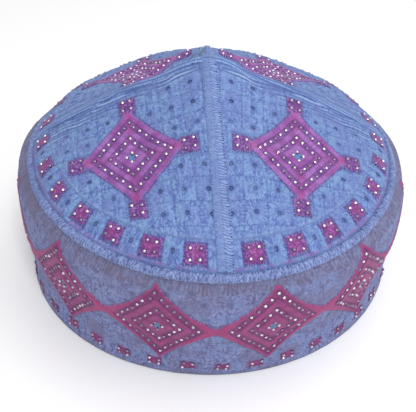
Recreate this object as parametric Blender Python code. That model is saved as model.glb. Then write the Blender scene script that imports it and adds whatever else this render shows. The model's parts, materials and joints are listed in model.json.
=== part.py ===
"""Kufi: a soft round cap of four domed crown gores on a tall side band.

Frame: metres, +Z up. The origin is on the surface the cap stands on, under the middle of its hem.
-Y is the front, where one of the four crown seams comes down. Left and right are as seen from the front,
so +X is right. Angles go round the cap from the front, positive towards +X.
"""

import math
from typing import NamedTuple

import bpy
import numpy as np

# Driving sizes, metres
RIM_HALF_WIDTH = 0.0866
RIM_HALF_DEPTH = 0.0949
RIM_HEIGHT = 0.0723
RIM_RISE_TO_FRONT = 0.030
RIM_RISE_TO_LEFT = 0.0206
CROWN_RISE = 0.0519
PEAK_OFFSET_X = -0.0025
PEAK_OFFSET_Y = -0.0035
CLOTH = 0.0026
GAP = 0.0003

# Raised strip over each crown seam
SEAM_WIDTH = 0.0046
SEAM_STAND = 0.0006
SEAM_EDGE_STAND = 0.0002

# Whip-stitched roll at the rim
ROLL_RADIUS = 0.0017
ROLL_SINK = 0.0013
CROWN_EDGE_SETBACK = 0.00025
STEEPEST = 1.35

# Mesh density
SEGMENTS_ROUND = 72
BAND_ROWS = 9
GORE_COLUMNS = 16
GORE_ROWS = 12
SEAM_ROWS = 18
ROLL_SIDES = 8
SMOOTH_ANGLE = math.radians(50)

# Step to either side over which a surface's slope is measured
SLOPE_STEP = 1e-4

# Cloth and thread roughness
CROWN_ROUGHNESS = 0.75
BAND_ROUGHNESS = 0.8
THREAD_ROUGHNESS = 0.6


class BandStation(NamedTuple):
    """Outside of the band at one height, as a share of the rim's height."""

    height_share: float
    half_width: float
    half_depth: float


class CrownStation(NamedTuple):
    """Height of the crown over the rim, as shares of the crown's rise, at a share of the way out."""

    out_share: float
    rise_on_seam: float
    rise_mid_gore: float


BAND_STATIONS = (
    BandStation(0.00, 0.0968, 0.0891),
    BandStation(0.30, 0.0932, 0.0911),
    BandStation(0.60, 0.0967, 0.0966),
    BandStation(0.85, 0.0957, 0.0987),
    BandStation(1.00, RIM_HALF_WIDTH, RIM_HALF_DEPTH),
)

CROWN_STATIONS = (
    CrownStation(0.00, 1.000, 1.000),
    CrownStation(0.05, 0.960, 0.955),
    CrownStation(0.25, 0.736, 0.700),
    CrownStation(0.50, 0.540, 0.418),
    CrownStation(0.75, 0.296, 0.245),
    CrownStation(1.00, 0.000, 0.000),
)

RIDGE_SHARPNESS = 1.5


def srgb(red, green, blue):
    """Return an 0-255 screen colour as linear values for a shader."""
    shares = np.array([red, green, blue]) / 255.0
    linear = np.where(shares > 0.04045, ((shares + 0.055) / 1.055) ** 2.4, shares / 12.92)
    return (*linear.tolist(), 1.0)


def smooth_curve(places, values, at):
    """Return a smooth curve through the stations that doesn't overshoot between them."""
    places = np.asarray(places, float)
    values = np.asarray(values, float)
    steps = np.diff(places)
    slopes = np.diff(values) / steps
    same_way = slopes[:-1] * slopes[1:] > 0
    left_weight = 2 * steps[1:] + steps[:-1]
    right_weight = steps[1:] + 2 * steps[:-1]
    safe_left = np.where(same_way, slopes[:-1], 1.0)
    safe_right = np.where(same_way, slopes[1:], 1.0)
    harmonic = (left_weight + right_weight) / (left_weight / safe_left + right_weight / safe_right)
    tangents = np.empty_like(values)
    tangents[1:-1] = np.where(same_way, harmonic, 0.0)
    tangents[0] = slopes[0] + (slopes[0] - slopes[1]) * steps[0] / (steps[0] + steps[1])
    tangents[-1] = slopes[-1] + (slopes[-1] - slopes[-2]) * steps[-1] / (steps[-1] + steps[-2])
    at = np.clip(np.asarray(at, float), places[0], places[-1])
    cell = np.clip(np.searchsorted(places, at, side="right") - 1, 0, len(steps) - 1)
    width = steps[cell]
    share = (at - places[cell]) / width
    rise = share * share * (3 - 2 * share)
    start_pull = share * (1 - share) ** 2 * width * tangents[cell]
    end_pull = share * share * (share - 1) * width * tangents[cell + 1]
    return values[cell] * (1 - rise) + values[cell + 1] * rise + start_pull + end_pull


def band_point(turn, share):
    """Return points on the band's outside, share 0 at the hem and 1 at the rim."""
    turn, share = np.broadcast_arrays(np.asarray(turn, float), np.asarray(share, float))
    shares = [station.height_share for station in BAND_STATIONS]
    half_width = smooth_curve(shares, [station.half_width for station in BAND_STATIONS], share)
    half_depth = smooth_curve(shares, [station.half_depth for station in BAND_STATIONS], share)
    x = half_width * np.sin(turn)
    y = -half_depth * np.cos(turn)
    z = share * (RIM_HEIGHT - RIM_RISE_TO_FRONT * y - RIM_RISE_TO_LEFT * x)
    return np.stack([x, y, z], axis=-1)


def crown_point(across, along):
    """Return points on the crown's outside, for places in a unit disc whose rim is the cap's rim."""
    across, along = np.broadcast_arrays(np.asarray(across, float), np.asarray(along, float))
    out = np.hypot(across, along)
    turn = np.arctan2(across, -along)
    stations = [station.out_share for station in CROWN_STATIONS]
    on_seam = smooth_curve(stations, [station.rise_on_seam for station in CROWN_STATIONS], out)
    mid_gore = smooth_curve(stations, [station.rise_mid_gore for station in CROWN_STATIONS], out)
    seam_weight = np.abs(np.cos(2 * turn)) ** RIDGE_SHARPNESS
    share = on_seam * seam_weight + mid_gore * (1 - seam_weight)
    rim_z = band_point(turn, 1.0)[..., 2]
    x = across * RIM_HALF_WIDTH + PEAK_OFFSET_X * (1 - out)
    y = along * RIM_HALF_DEPTH + PEAK_OFFSET_Y * (1 - out)
    z = rim_z + (RIM_HEIGHT + CROWN_RISE - rim_z) * share
    return np.stack([x, y, z], axis=-1)


def under_crown(across, along):
    """Return points on the crown's inside, straight below those on its outside."""
    top = crown_point(across, along)
    to_right = crown_point(across + SLOPE_STEP, along) - crown_point(across - SLOPE_STEP, along)
    to_back = crown_point(across, along + SLOPE_STEP) - crown_point(across, along - SLOPE_STEP)
    normal = np.cross(to_right, to_back)
    steepness = np.linalg.norm(normal, axis=-1) / normal[..., 2]
    top[..., 2] -= CLOTH * np.minimum(steepness, STEEPEST)
    return top


def outward_normal(turn, share):
    """Return the band's outward direction, square to its profile, at each place."""
    low = band_point(turn, np.clip(share - SLOPE_STEP, 0, 1))
    high = band_point(turn, np.clip(share + SLOPE_STEP, 0, 1))
    up = high - low
    round_step = band_point(turn + SLOPE_STEP, share) - band_point(turn - SLOPE_STEP, share)
    normal = np.cross(round_step, up)
    return normal / np.linalg.norm(normal, axis=-1, keepdims=True)


def rim_outward(turns):
    """Return the level direction square to the rim at each turn."""
    outward = np.stack([np.sin(turns) / RIM_HALF_WIDTH, -np.cos(turns) / RIM_HALF_DEPTH, 0 * turns], axis=-1)
    return outward / np.linalg.norm(outward, axis=-1, keepdims=True)


def make_material(name, colour, roughness, metallic=0.0):
    """Return a plain surface with one colour, roughness and metallic value."""
    material = bpy.data.materials.new(name)
    material.use_nodes = True
    shader = material.node_tree.nodes["Principled BSDF"]
    shader.inputs["Base Color"].default_value = colour
    shader.inputs["Roughness"].default_value = roughness
    shader.inputs["Metallic"].default_value = metallic
    return material


def make_object(name, points, faces, material):
    """Return a linked, smooth-shaded object made of the given points and faces."""
    mesh = bpy.data.meshes.new(name)
    mesh.from_pydata(points.reshape(-1, 3).tolist(), [], faces)
    mesh.materials.append(material)
    mesh.shade_smooth()
    mesh.set_sharp_from_angle(angle=SMOOTH_ANGLE)
    thing = bpy.data.objects.new(name, mesh)
    bpy.context.scene.collection.objects.link(thing)
    return thing


def ring_faces(count_round, count_section):
    """Return the quads of a closed section carried round a closed ring."""
    faces = []
    for i in range(count_round):
        following = (i + 1) % count_round
        for j in range(count_section):
            after = (j + 1) % count_section
            faces.append((
                i * count_section + j,
                following * count_section + j,
                following * count_section + after,
                i * count_section + after,
            ))
    return faces


def build_band(material):
    """Make the side wall: a closed section with a flat hem, carried round the cap."""
    turns = np.linspace(-math.pi, math.pi, SEGMENTS_ROUND, endpoint=False)
    top_shares = 1 - (ROLL_SINK + ROLL_RADIUS + GAP) / band_point(turns, 1.0)[:, 2]
    # rows lie closer together towards the rounded shoulder at the top
    row_grid = top_shares[:, None] * np.sin(np.linspace(0, math.pi / 2, BAND_ROWS))[None, :]
    turn_grid = np.broadcast_to(turns[:, None], row_grid.shape)
    outside = band_point(turn_grid, row_grid)
    inside = outside - outward_normal(turn_grid, row_grid) * CLOTH
    inside[:, 0, 2] = 0.0
    section = np.concatenate([outside, inside[:, ::-1]], axis=1)
    faces = ring_faces(SEGMENTS_ROUND, section.shape[1])
    return make_object("band", section, faces, material)


def build_rim_edging(material):
    """Make the stitched roll that covers the edge between crown and band."""
    turns = np.linspace(-math.pi, math.pi, SEGMENTS_ROUND, endpoint=False)
    outward = rim_outward(turns)
    centres = band_point(turns, 1.0) + outward * (ROLL_RADIUS + GAP - CROWN_EDGE_SETBACK)
    centres[:, 2] -= ROLL_SINK
    along = np.roll(centres, -1, axis=0) - np.roll(centres, 1, axis=0)
    along /= np.linalg.norm(along, axis=1, keepdims=True)
    upwards = np.cross(outward, along)
    angles = np.arange(ROLL_SIDES) * 2 * math.pi / ROLL_SIDES
    level = np.cos(angles)[None, :, None] * outward[:, None]
    lifted = np.sin(angles)[None, :, None] * upwards[:, None]
    points = centres[:, None] + (level + lifted) * ROLL_RADIUS
    return make_object("rim_edging", points, ring_faces(SEGMENTS_ROUND, ROLL_SIDES), material)


def build_gore(name, side, end, material):
    """Make one quarter of the crown; side is +1 towards +X, end is +1 towards the back."""
    edge = 1 - CROWN_EDGE_SETBACK / RIM_HALF_WIDTH
    inset_across = (SEAM_WIDTH / 2 + GAP) / RIM_HALF_WIDTH
    inset_along = (SEAM_WIDTH / 2 + GAP) / RIM_HALF_DEPTH
    first = math.asin(inset_across / edge)
    last = math.pi / 2 - math.asin(inset_along / edge)
    angles = np.linspace(first, last, GORE_COLUMNS + 1)
    shares = np.linspace(0, 1, GORE_ROWS + 1)[1:]
    share_grid, angle_grid = np.meshgrid(shares, angles, indexing="ij")
    across = inset_across + share_grid * (edge * np.sin(angle_grid) - inset_across)
    along = inset_along + share_grid * (edge * np.cos(angle_grid) - inset_along)
    count = GORE_COLUMNS + 1
    layers = []
    for surface in (crown_point, under_crown):
        layers.append(surface(side * inset_across, end * inset_along)[None])
        layers.append(surface(side * across, end * along).reshape(-1, 3))
    points = np.concatenate(layers)
    below = 1 + GORE_ROWS * count
    skin = [(0, 1 + j, 2 + j) for j in range(GORE_COLUMNS)]
    for i in range(GORE_ROWS - 1):
        for j in range(GORE_COLUMNS):
            low = 1 + i * count + j
            skin.append((low, low + count, low + count + 1, low + 1))
    first_edge = [0] + [1 + i * count for i in range(GORE_ROWS)]
    rim_edge = [1 + (GORE_ROWS - 1) * count + j for j in range(count)]
    last_edge = [1 + i * count + GORE_COLUMNS for i in reversed(range(GORE_ROWS))]
    border = first_edge + rim_edge[1:] + last_edge[1:]
    faces = list(skin)
    faces += [tuple(below + corner for corner in reversed(face)) for face in skin]
    for here, after in zip(border, border[1:] + border[:1]):
        faces.append((after, here, below + here, below + after))
    if side * end > 0:
        faces = [face[::-1] for face in faces]
    return make_object(name, points, faces, material)


def build_seam(name, direction, start, material):
    """Make one raised strip from near the peak to the rim, along a unit direction in the disc."""
    edge = 1 - CROWN_EDGE_SETBACK / RIM_HALF_WIDTH
    outs = np.linspace(start, edge, SEAM_ROWS + 1)
    middle = crown_point(outs * direction[0], outs * direction[1])
    under = under_crown(outs * direction[0], outs * direction[1])
    sideways = np.array([-direction[1], direction[0], 0.0])
    half = SEAM_WIDTH / 2
    section = (
        (half, SEAM_EDGE_STAND), (half / 2, SEAM_STAND), (-half / 2, SEAM_STAND), (-half, SEAM_EDGE_STAND),
    )
    top = [middle + across * sideways + np.array([0.0, 0.0, up]) for across, up in section]
    bottom = [under - half * sideways, under + half * sideways]
    points = np.stack(bottom + top, axis=1)
    count = points.shape[1]
    faces = []
    for i in range(SEAM_ROWS):
        for j in range(count):
            after = (j + 1) % count
            faces.append((i * count + j, i * count + after, (i + 1) * count + after, (i + 1) * count + j))
    faces.append(tuple(reversed(range(count))))
    faces.append(tuple(SEAM_ROWS * count + j for j in range(count)))
    return make_object(name, points, faces, material)


def build_kufi():
    """Make every piece of the cap."""
    crown_blue = make_material("crown_cloth", srgb(124, 148, 200), CROWN_ROUGHNESS)
    band_lavender = make_material("band_cloth", srgb(124, 126, 163), BAND_ROUGHNESS)
    seam_blue = make_material("seam_thread", srgb(118, 140, 194), THREAD_ROUGHNESS)
    edging_blue = make_material("edging_thread", srgb(128, 150, 204), THREAD_ROUGHNESS)
    for end_name, end in (("front", -1), ("back", 1)):
        for side_name, side in (("left", -1), ("right", 1)):
            build_gore(f"crown_gore_{end_name}_{side_name}", side, end, crown_blue)
    meeting = GAP / RIM_HALF_DEPTH
    clear_of_strip = (SEAM_WIDTH / 2 + GAP) / RIM_HALF_WIDTH
    build_seam("seam_front", (0.0, -1.0), meeting, seam_blue)
    build_seam("seam_back", (0.0, 1.0), meeting, seam_blue)
    build_seam("seam_right", (1.0, 0.0), clear_of_strip, seam_blue)
    build_seam("seam_left", (-1.0, 0.0), clear_of_strip, seam_blue)
    build_rim_edging(edging_blue)
    build_band(band_lavender)


for old in list(bpy.data.objects):
    bpy.data.objects.remove(old)
build_kufi()
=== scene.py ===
"""Kufi, dressed: four embroidered crown gores, covered seams, a whip-stitched roll and a side band.

Frame: metres, +Z up, the origin under the middle of the hem, -Y at the front, +X to the right as seen from
the front. Sizes in the pattern classes are in millimetres of cloth. Turns go round the cap from the front,
positive towards +X. A Range field holds the value at which an effect starts and the one at which it is full.
"""

import json
import logging
import math
from dataclasses import dataclass
from enum import Enum
from typing import ClassVar

import bmesh
import bpy
import numpy as np
from mathutils import Matrix

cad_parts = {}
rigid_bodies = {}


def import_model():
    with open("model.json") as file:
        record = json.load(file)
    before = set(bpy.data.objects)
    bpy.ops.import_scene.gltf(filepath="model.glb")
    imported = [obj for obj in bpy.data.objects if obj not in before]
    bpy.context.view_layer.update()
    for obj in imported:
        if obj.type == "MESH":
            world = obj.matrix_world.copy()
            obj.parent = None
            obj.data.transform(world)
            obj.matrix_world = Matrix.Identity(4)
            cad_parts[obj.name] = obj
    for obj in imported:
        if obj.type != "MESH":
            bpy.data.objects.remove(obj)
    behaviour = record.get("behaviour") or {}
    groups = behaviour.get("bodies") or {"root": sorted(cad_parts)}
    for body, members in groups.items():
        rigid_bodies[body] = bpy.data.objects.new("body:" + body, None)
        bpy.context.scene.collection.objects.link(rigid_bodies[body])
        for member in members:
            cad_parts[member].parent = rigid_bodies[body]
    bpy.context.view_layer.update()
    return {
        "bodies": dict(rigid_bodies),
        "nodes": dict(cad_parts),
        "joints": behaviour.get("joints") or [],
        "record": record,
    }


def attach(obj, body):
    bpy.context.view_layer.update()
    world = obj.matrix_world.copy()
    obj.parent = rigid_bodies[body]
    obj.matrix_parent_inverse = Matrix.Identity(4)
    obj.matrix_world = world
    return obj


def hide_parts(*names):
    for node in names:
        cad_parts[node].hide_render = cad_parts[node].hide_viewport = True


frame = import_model()

log = logging.getLogger("kufi")

Array = np.ndarray
Colour = tuple[float, float, float, float]
Range = tuple[float, float]

MM = 0.001
BODY = "root"
NOISE_CELLS = 97
TWO_BY_TWO = np.array([[-1, -1], [-1, 1], [1, -1], [1, 1]], float)
PLAIN_CLOTH = {"satin": -9.0, "frame": 2.0}
WHITE = (1.0, 1.0, 1.0)


class Side(Enum):
    """Which side of the front seam a gore lies on."""

    LEFT = -1
    RIGHT = 1


class End(Enum):
    """Which end of the cap a gore lies on."""

    FRONT = -1
    BACK = 1


class Seam(Enum):
    """The direction in which each crown seam runs out from the peak, in the crown's disc."""

    FRONT = (0.0, -1.0)
    BACK = (0.0, 1.0)
    LEFT = (-1.0, 0.0)
    RIGHT = (1.0, 0.0)


def srgb(red: float, green: float, blue: float) -> Colour:
    """Return a 0-255 screen colour as linear values for a shader."""
    shares = np.array([red, green, blue]) / 255.0
    linear = np.where(shares > 0.04045, ((shares + 0.055) / 1.055) ** 2.4, shares / 12.92)
    return (*linear.tolist(), 1.0)


def smooth_curve(places: tuple, values: tuple, at: Array) -> Array:
    """Read a smooth curve that passes through a short table without overshooting it.

    Each inner tangent is the weighted harmonic mean of the slopes on both sides, or level where they
    differ in sign, and a cubic joins neighbours with those tangents.

    Args:
        places: The table's positions, rising.
        values: The table's values.
        at: The positions to read.

    Returns:
        The curve's value at each position.
    """
    places = np.asarray(places, float)
    values = np.asarray(values, float)
    steps = np.diff(places)
    slopes = np.diff(values) / steps
    same_way = slopes[:-1] * slopes[1:] > 0
    left_weight = 2 * steps[1:] + steps[:-1]
    right_weight = steps[1:] + 2 * steps[:-1]
    safe_left = np.where(same_way, slopes[:-1], 1.0)
    safe_right = np.where(same_way, slopes[1:], 1.0)
    harmonic = (left_weight + right_weight) / (left_weight / safe_left + right_weight / safe_right)
    tangents = np.empty_like(values)
    tangents[1:-1] = np.where(same_way, harmonic, 0.0)
    tangents[0] = slopes[0] + (slopes[0] - slopes[1]) * steps[0] / (steps[0] + steps[1])
    tangents[-1] = slopes[-1] + (slopes[-1] - slopes[-2]) * steps[-1] / (steps[-1] + steps[-2])
    at = np.clip(np.asarray(at, float), places[0], places[-1])
    cell = np.clip(np.searchsorted(places, at, side="right") - 1, 0, len(steps) - 1)
    width = steps[cell]
    share = (at - places[cell]) / width
    rise = share * share * (3 - 2 * share)
    start_pull = share * (1 - share) ** 2 * width * tangents[cell]
    end_pull = share * share * (share - 1) * width * tangents[cell + 1]
    return values[cell] * (1 - rise) + values[cell + 1] * rise + start_pull + end_pull


def ease(low: float, high: float, value: Array) -> Array:
    """Return a smooth rise from 0 at low to 1 at high (low may lie above high)."""
    share = np.clip((value - low) / (high - low), 0, 1)
    return share * share * (3 - 2 * share)


def bell(value: Array, middle: float, width: float) -> Array:
    """Return a bell curve of height one round the middle."""
    return np.exp(-(((value - middle) / width) ** 2))


def join_softly(first: Array, second: Array, softness: float) -> Array:
    """Return the larger of two distances with the corner between them rounded off by a soft maximum."""
    larger = np.maximum(first, second)
    return larger + softness * np.log1p(np.exp(-np.abs(first - second) / softness))


def unevenness(across: Array, along: Array, size: float, seed: int) -> Array:
    """Return soft random bumps between -1 and 1, by smooth blending of a table of random numbers.

    Args:
        across: Place in one direction.
        along: Place in the other direction, in the same unit.
        size: Distance between neighbouring random numbers.
        seed: Which table to use.

    Returns:
        The bumps' height at each place.
    """
    table = np.random.default_rng(seed).uniform(-1, 1, (NOISE_CELLS, NOISE_CELLS))
    column, row = np.floor(across / size), np.floor(along / size)
    side, up = across / size - column, along / size - row
    side, up = side * side * (3 - 2 * side), up * up * (3 - 2 * up)
    left, low = column.astype(int) % NOISE_CELLS, row.astype(int) % NOISE_CELLS
    right, high = (left + 1) % NOISE_CELLS, (low + 1) % NOISE_CELLS
    lower = table[low, left] * (1 - side) + table[low, right] * side
    upper = table[high, left] * (1 - side) + table[high, right] * side
    return lower * (1 - up) + upper * up


@dataclass(frozen=True)
class Bumps:
    """Soft random bumps: their height, the distance between them and which random table they read."""

    height: float
    size: float
    seed: int

    def at(self, across: Array, along: Array) -> Array:
        """Return the bumps at each place, both directions in the unit of their size."""
        return self.height * unevenness(across, along, self.size, self.seed)


@dataclass(frozen=True)
class LaidStrands:
    """Loose straight stitches laid side by side; sizes in millimetres."""

    seed: int
    length: float = 7.0
    pitch: float = 2.2
    slant: float = 0.06
    wander: float = 0.9
    wander_size: float = 7.0
    wander_stretch: float = 0.6
    stagger: float = 0.37
    bump_stretch: float = 1.3
    plain_height: float = 0.55
    bump_height: float = 0.6
    bump_lift: float = 0.35

    def ridges(self, run: Array, aside: Array) -> Array:
        """Return the stitches' ridges, between -1 and 1.

        A cosine across the stitches is bent by a slow sideways wander, and random bumps that are
        stretched along the run break it up.

        Args:
            run: Place along the stitches.
            aside: Place across them.

        Returns:
            The ridges' height at each place.
        """
        run, aside = np.broadcast_arrays(run, aside)
        wander = self.wander * unevenness(run, self.wander_stretch * aside, self.wander_size, self.seed + 1)
        bent = aside + self.slant * run + wander
        along = run / self.length + self.stagger * np.floor(bent / self.pitch)
        bumps = unevenness(along, self.bump_stretch * bent / self.pitch, 1.0, self.seed)
        wave = np.cos(2 * math.pi * bent / self.pitch) * (self.plain_height + self.bump_height * bumps)
        return np.clip(wave + self.bump_lift * bumps, -1, 1)


def side_run(first: Array, second: Array, half_first: float, half_second: float) -> Array:
    """Return the place along the nearest side of a rectangle, from places along its two directions."""
    return np.where(half_first - np.abs(first) < half_second - np.abs(second), second, first)


def unit(vectors: Array) -> Array:
    """Return the vectors at length one."""
    return vectors / np.maximum(np.linalg.norm(vectors, axis=-1, keepdims=True), 1e-12)


@dataclass(frozen=True)
class CapShape:
    """The cap's form without its needlework, as the solids have it."""

    rim_half_width: float = 0.0866
    rim_half_depth: float = 0.0949
    rim_height: float = 0.0723
    rim_rise_to_front: float = 0.030
    rim_rise_to_left: float = 0.0206
    rim_sink_at_back: float = 0.0055
    rim_level_at_back: float = 0.85
    shoulder: float = 0.0012
    shoulder_at_back: float = 0.0029
    shoulder_out: float = 0.91
    shoulder_width: float = 0.15
    crown_rise: float = 0.0519
    top_sink: float = 0.0056
    top_reach: float = 0.0115
    back_top_reach: float = 0.006
    back_valley: float = 0.003
    back_swell: float = 0.0012
    back_swell_at: float = 0.015
    back_swell_width: float = 0.010
    back_hump: float = 0.0013
    back_hump_at: float = 0.052
    back_hump_width: float = 0.018
    on_back_seam: Range = (0.96, 0.998)
    valley_turn: Range = (0.0, 0.25)
    valley_start: Range = (0.004, 0.012)
    valley_end: Range = (0.048, 0.034)
    swell_start: Range = (0.0, 0.006)
    hump_turn: Range = (0.8, 0.98)
    shoulder_end: float = 0.05
    peak_offset_x: float = -0.0025
    peak_offset_y: float = -0.0035
    cloth: float = 0.0026
    gap: float = 0.0003
    steepest: float = 1.35
    ridge_sharpness: float = 1.5
    crown_edge_setback: float = 0.00025
    seam_width: float = 0.0046
    roll_radius: float = 0.0017
    roll_sink: float = 0.0013
    band_tucked: float = 0.0011
    band_shares: tuple = (0.00, 0.30, 0.60, 0.85, 1.00)
    band_half_widths: tuple = (0.0968, 0.0944, 0.0961, 0.0956, 0.0866)
    band_half_depths: tuple = (0.0891, 0.0911, 0.0966, 0.0987, 0.0949)
    crown_shares: tuple = (0.00, 0.05, 0.25, 0.50, 0.75, 1.00)
    rise_on_seam: tuple = (1.000, 0.960, 0.736, 0.540, 0.296, 0.000)
    rise_mid_gore: tuple = (1.000, 0.955, 0.700, 0.418, 0.245, 0.000)
    slope_step: float = 1e-4

    @property
    def edge(self) -> float:
        """Return how far out the crown's cloth ends, as a share of the rim."""
        return 1 - self.crown_edge_setback / self.rim_half_width

    def band_point(self, turn: Array, share: Array) -> Array:
        """Place points on the band's outside.

        An ellipse at each height, whose half sizes follow a smooth curve through the table, under a rim
        that rises towards the front and the left, and has softened and sunk a little at the back.

        Args:
            turn: Angle round the cap, radians.
            share: Height, 0 at the hem and 1 at the rim.

        Returns:
            Points in metres.
        """
        turn, share = np.broadcast_arrays(np.asarray(turn, float), np.asarray(share, float))
        x = smooth_curve(self.band_shares, self.band_half_widths, share) * np.sin(turn)
        y = -smooth_curve(self.band_shares, self.band_half_depths, share) * np.cos(turn)
        backwards = np.clip(-np.cos(turn), 0, 1)
        to_left = self.rim_rise_to_left * (1 - self.rim_level_at_back * backwards)
        sink = self.rim_sink_at_back * backwards
        z = share * (self.rim_height - self.rim_rise_to_front * y - to_left * x - sink)
        return np.stack([x, y, z], axis=-1)

    def crown_point(self, across: Array, along: Array) -> Array:
        """Place points on the crown's outside.

        The rise over the rim blends from the curve along the seams to the lower one along the middle
        of a gore, by the size of the cosine of twice the turn. A soft shoulder swells over the rim,
        and the top has slumped.

        Args:
            across: Place in a unit disc, +1 at the right of the rim.
            along: Place in the same disc, +1 at the back.

        Returns:
            Points in metres.
        """
        across, along = np.broadcast_arrays(np.asarray(across, float), np.asarray(along, float))
        out = np.hypot(across, along)
        turn = np.arctan2(across, -along)
        on_seam = smooth_curve(self.crown_shares, self.rise_on_seam, out)
        mid_gore = smooth_curve(self.crown_shares, self.rise_mid_gore, out)
        weight = np.abs(np.cos(2 * turn)) ** self.ridge_sharpness
        share = on_seam * weight + mid_gore * (1 - weight)
        rim_z = self.band_point(turn, 1.0)[..., 2]
        x = across * self.rim_half_width + self.peak_offset_x * (1 - out)
        y = along * self.rim_half_depth + self.peak_offset_y * (1 - out)
        swell = self.shoulder + self.shoulder_at_back * np.clip(-np.cos(turn), 0, 1)
        swell = swell * bell(out, self.shoulder_out, self.shoulder_width)
        swell = swell * np.clip((1 - out) / self.shoulder_end, 0, 1)
        far = np.hypot(across * self.rim_half_width, along * self.rim_half_depth)
        slump = self.slump(far, -np.cos(turn))
        z = rim_z + (self.rim_height + self.crown_rise - rim_z) * share + swell - slump
        return np.stack([x, y, z], axis=-1)

    def slump(self, far: Array, backwards: Array) -> Array:
        """Return how far the top has sunk, metres.

        An exponential rounds the peak off. Towards the back a shallow valley lies on both sides of
        the seam, the seam between them is a bell with a swell below it, and a low hump lies further out.

        Args:
            far: Level distance from the middle, metres.
            backwards: Minus the cosine of the turn, one straight towards the back.

        Returns:
            The drop at each place.
        """
        valley = self.back_valley * ease(*self.valley_turn, backwards) * ease(*self.valley_start, far)
        beside = self.top_sink * np.exp(-far / self.top_reach) + valley * ease(*self.valley_end, far)
        swell = self.back_swell * bell(far, self.back_swell_at, self.back_swell_width)
        on_seam = self.top_sink * bell(far, 0.0, self.back_top_reach) - swell * ease(*self.swell_start, far)
        seam_share = ease(*self.on_back_seam, backwards)
        hump = self.back_hump * bell(far, self.back_hump_at, self.back_hump_width)
        return beside * (1 - seam_share) + on_seam * seam_share - hump * ease(*self.hump_turn, backwards)

    def crown_normal(self, across: Array, along: Array) -> Array:
        """Return the crown's outward direction, from its slopes to the right and to the back."""
        step = self.slope_step
        to_right = self.crown_point(across + step, along) - self.crown_point(across - step, along)
        to_back = self.crown_point(across, along + step) - self.crown_point(across, along - step)
        return unit(np.cross(to_right, to_back))

    def under_crown(self, across: Array, along: Array) -> Array:
        """Return points on the crown's inside, straight below the outside by the cloth's thickness."""
        top = self.crown_point(across, along)
        steepness = 1 / self.crown_normal(across, along)[..., 2]
        top[..., 2] -= self.cloth * np.minimum(steepness, self.steepest)
        return top

    def band_normal(self, turn: Array, share: Array) -> Array:
        """Return the band's outward direction, from its slopes round the cap and upwards."""
        step = self.slope_step
        share = np.asarray(share, float)
        above, below = np.clip(share + step, 0, 1), np.clip(share - step, 0, 1)
        upwards = self.band_point(turn, above) - self.band_point(turn, below)
        sideways = self.band_point(turn + step, share) - self.band_point(turn - step, share)
        return unit(np.cross(sideways, upwards))

    def band_top(self, turn: Array) -> Array:
        """Return the height share at which the band ends, tucked up behind the roll."""
        covered = self.roll_sink + self.roll_radius + self.gap - self.band_tucked
        return 1 - covered / self.band_point(turn, 1.0)[..., 2]

    def rim_outward(self, turn: Array) -> Array:
        """Return the level direction square to the rim."""
        level = [np.sin(turn) / self.rim_half_width, -np.cos(turn) / self.rim_half_depth, 0 * turn]
        return unit(np.stack(level, axis=-1))


@dataclass
class Needlework:
    """What the needle does to the cloth at each place of a piece.

    Attributes:
        height: How far the surface stands off the plain form, millimetres.
        cells: Place in the quilting, one unit a cell, an eyelet in the middle of each.
        satin: Distance inside the embroidered shapes, millimetres, below zero outside them.
        frame: Share of the way from a medallion's middle to its edge, over two outside medallions.
        thread: Running length along the edge that the satin threads cross, millimetres.
        eyelet: One where the cell's eyelet is open, and zero where a shape covers it.
        rose: One where the satin turns to the rose thread of the corners.
        whip: How dark the long or short straight stitches that cover the ground make it; on the band it also
            holds the painted shade under the roll and at the hem.
        line: One where a thin coloured thread is couched on the ground.
    """

    height: Array
    cells: Array
    satin: Array
    frame: Array
    thread: Array
    eyelet: Array
    rose: Array
    whip: Array
    line: Array

    def attributes(self) -> dict[str, Array]:
        """Return the values that the materials read, by attribute name."""
        names = ("satin", "frame", "thread", "eyelet", "rose", "whip", "line")
        return {name: getattr(self, name) for name in names}


@dataclass(frozen=True)
class Medallion:
    """A stepped diamond of satin frames with rows of studs between them.

    Sizes are shares of the way from its middle to its outer ring's scale.
    """

    outer_ring: float = 0.81
    outer_studs: int = 8
    inner_ring: float = 0.435
    inner_studs: int = 5
    centre_ring: float = 0.105
    steps: tuple = (0.00, 0.055, 0.11, 0.17, 0.30, 0.36, 0.51, 0.57, 0.68, 0.74, 0.88, 0.94, 1.10)
    heights: tuple = (-0.9, -0.8, 0.10, 0.50, 0.50, 0.00, 0.00, 0.50, 0.50, 0.00, 0.00, 0.50, 0.45)

    def relief(self, frame: Array) -> Array:
        """Return the satin's height over the ground, read from the table of steps, millimetres."""
        return np.interp(frame, self.steps, self.heights)

    def ring(self, share: float, per_side: int) -> Array:
        """Return places along a diamond's four sides, per_side on each with the corners shared.

        Args:
            share: The diamond's half diagonal.
            per_side: How many on one side, both corners counted.

        Returns:
            An array of places, two numbers a row.
        """
        steps = np.arange(4 * (per_side - 1)) / (per_side - 1)
        corner = np.array([[1, 0], [0, 1], [-1, 0], [0, -1], [1, 0]], float) * share
        side = steps.astype(int)
        part = (steps - side)[:, None]
        return corner[side] * (1 - part) + corner[side + 1] * part

    def studs(self) -> Array:
        """Return the places of all studs in the medallion, in its own shares."""
        rings = (
            self.ring(self.outer_ring, self.outer_studs),
            self.ring(self.inner_ring, self.inner_studs),
            self.ring(self.centre_ring, 2),
        )
        return np.concatenate(rings)


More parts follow.
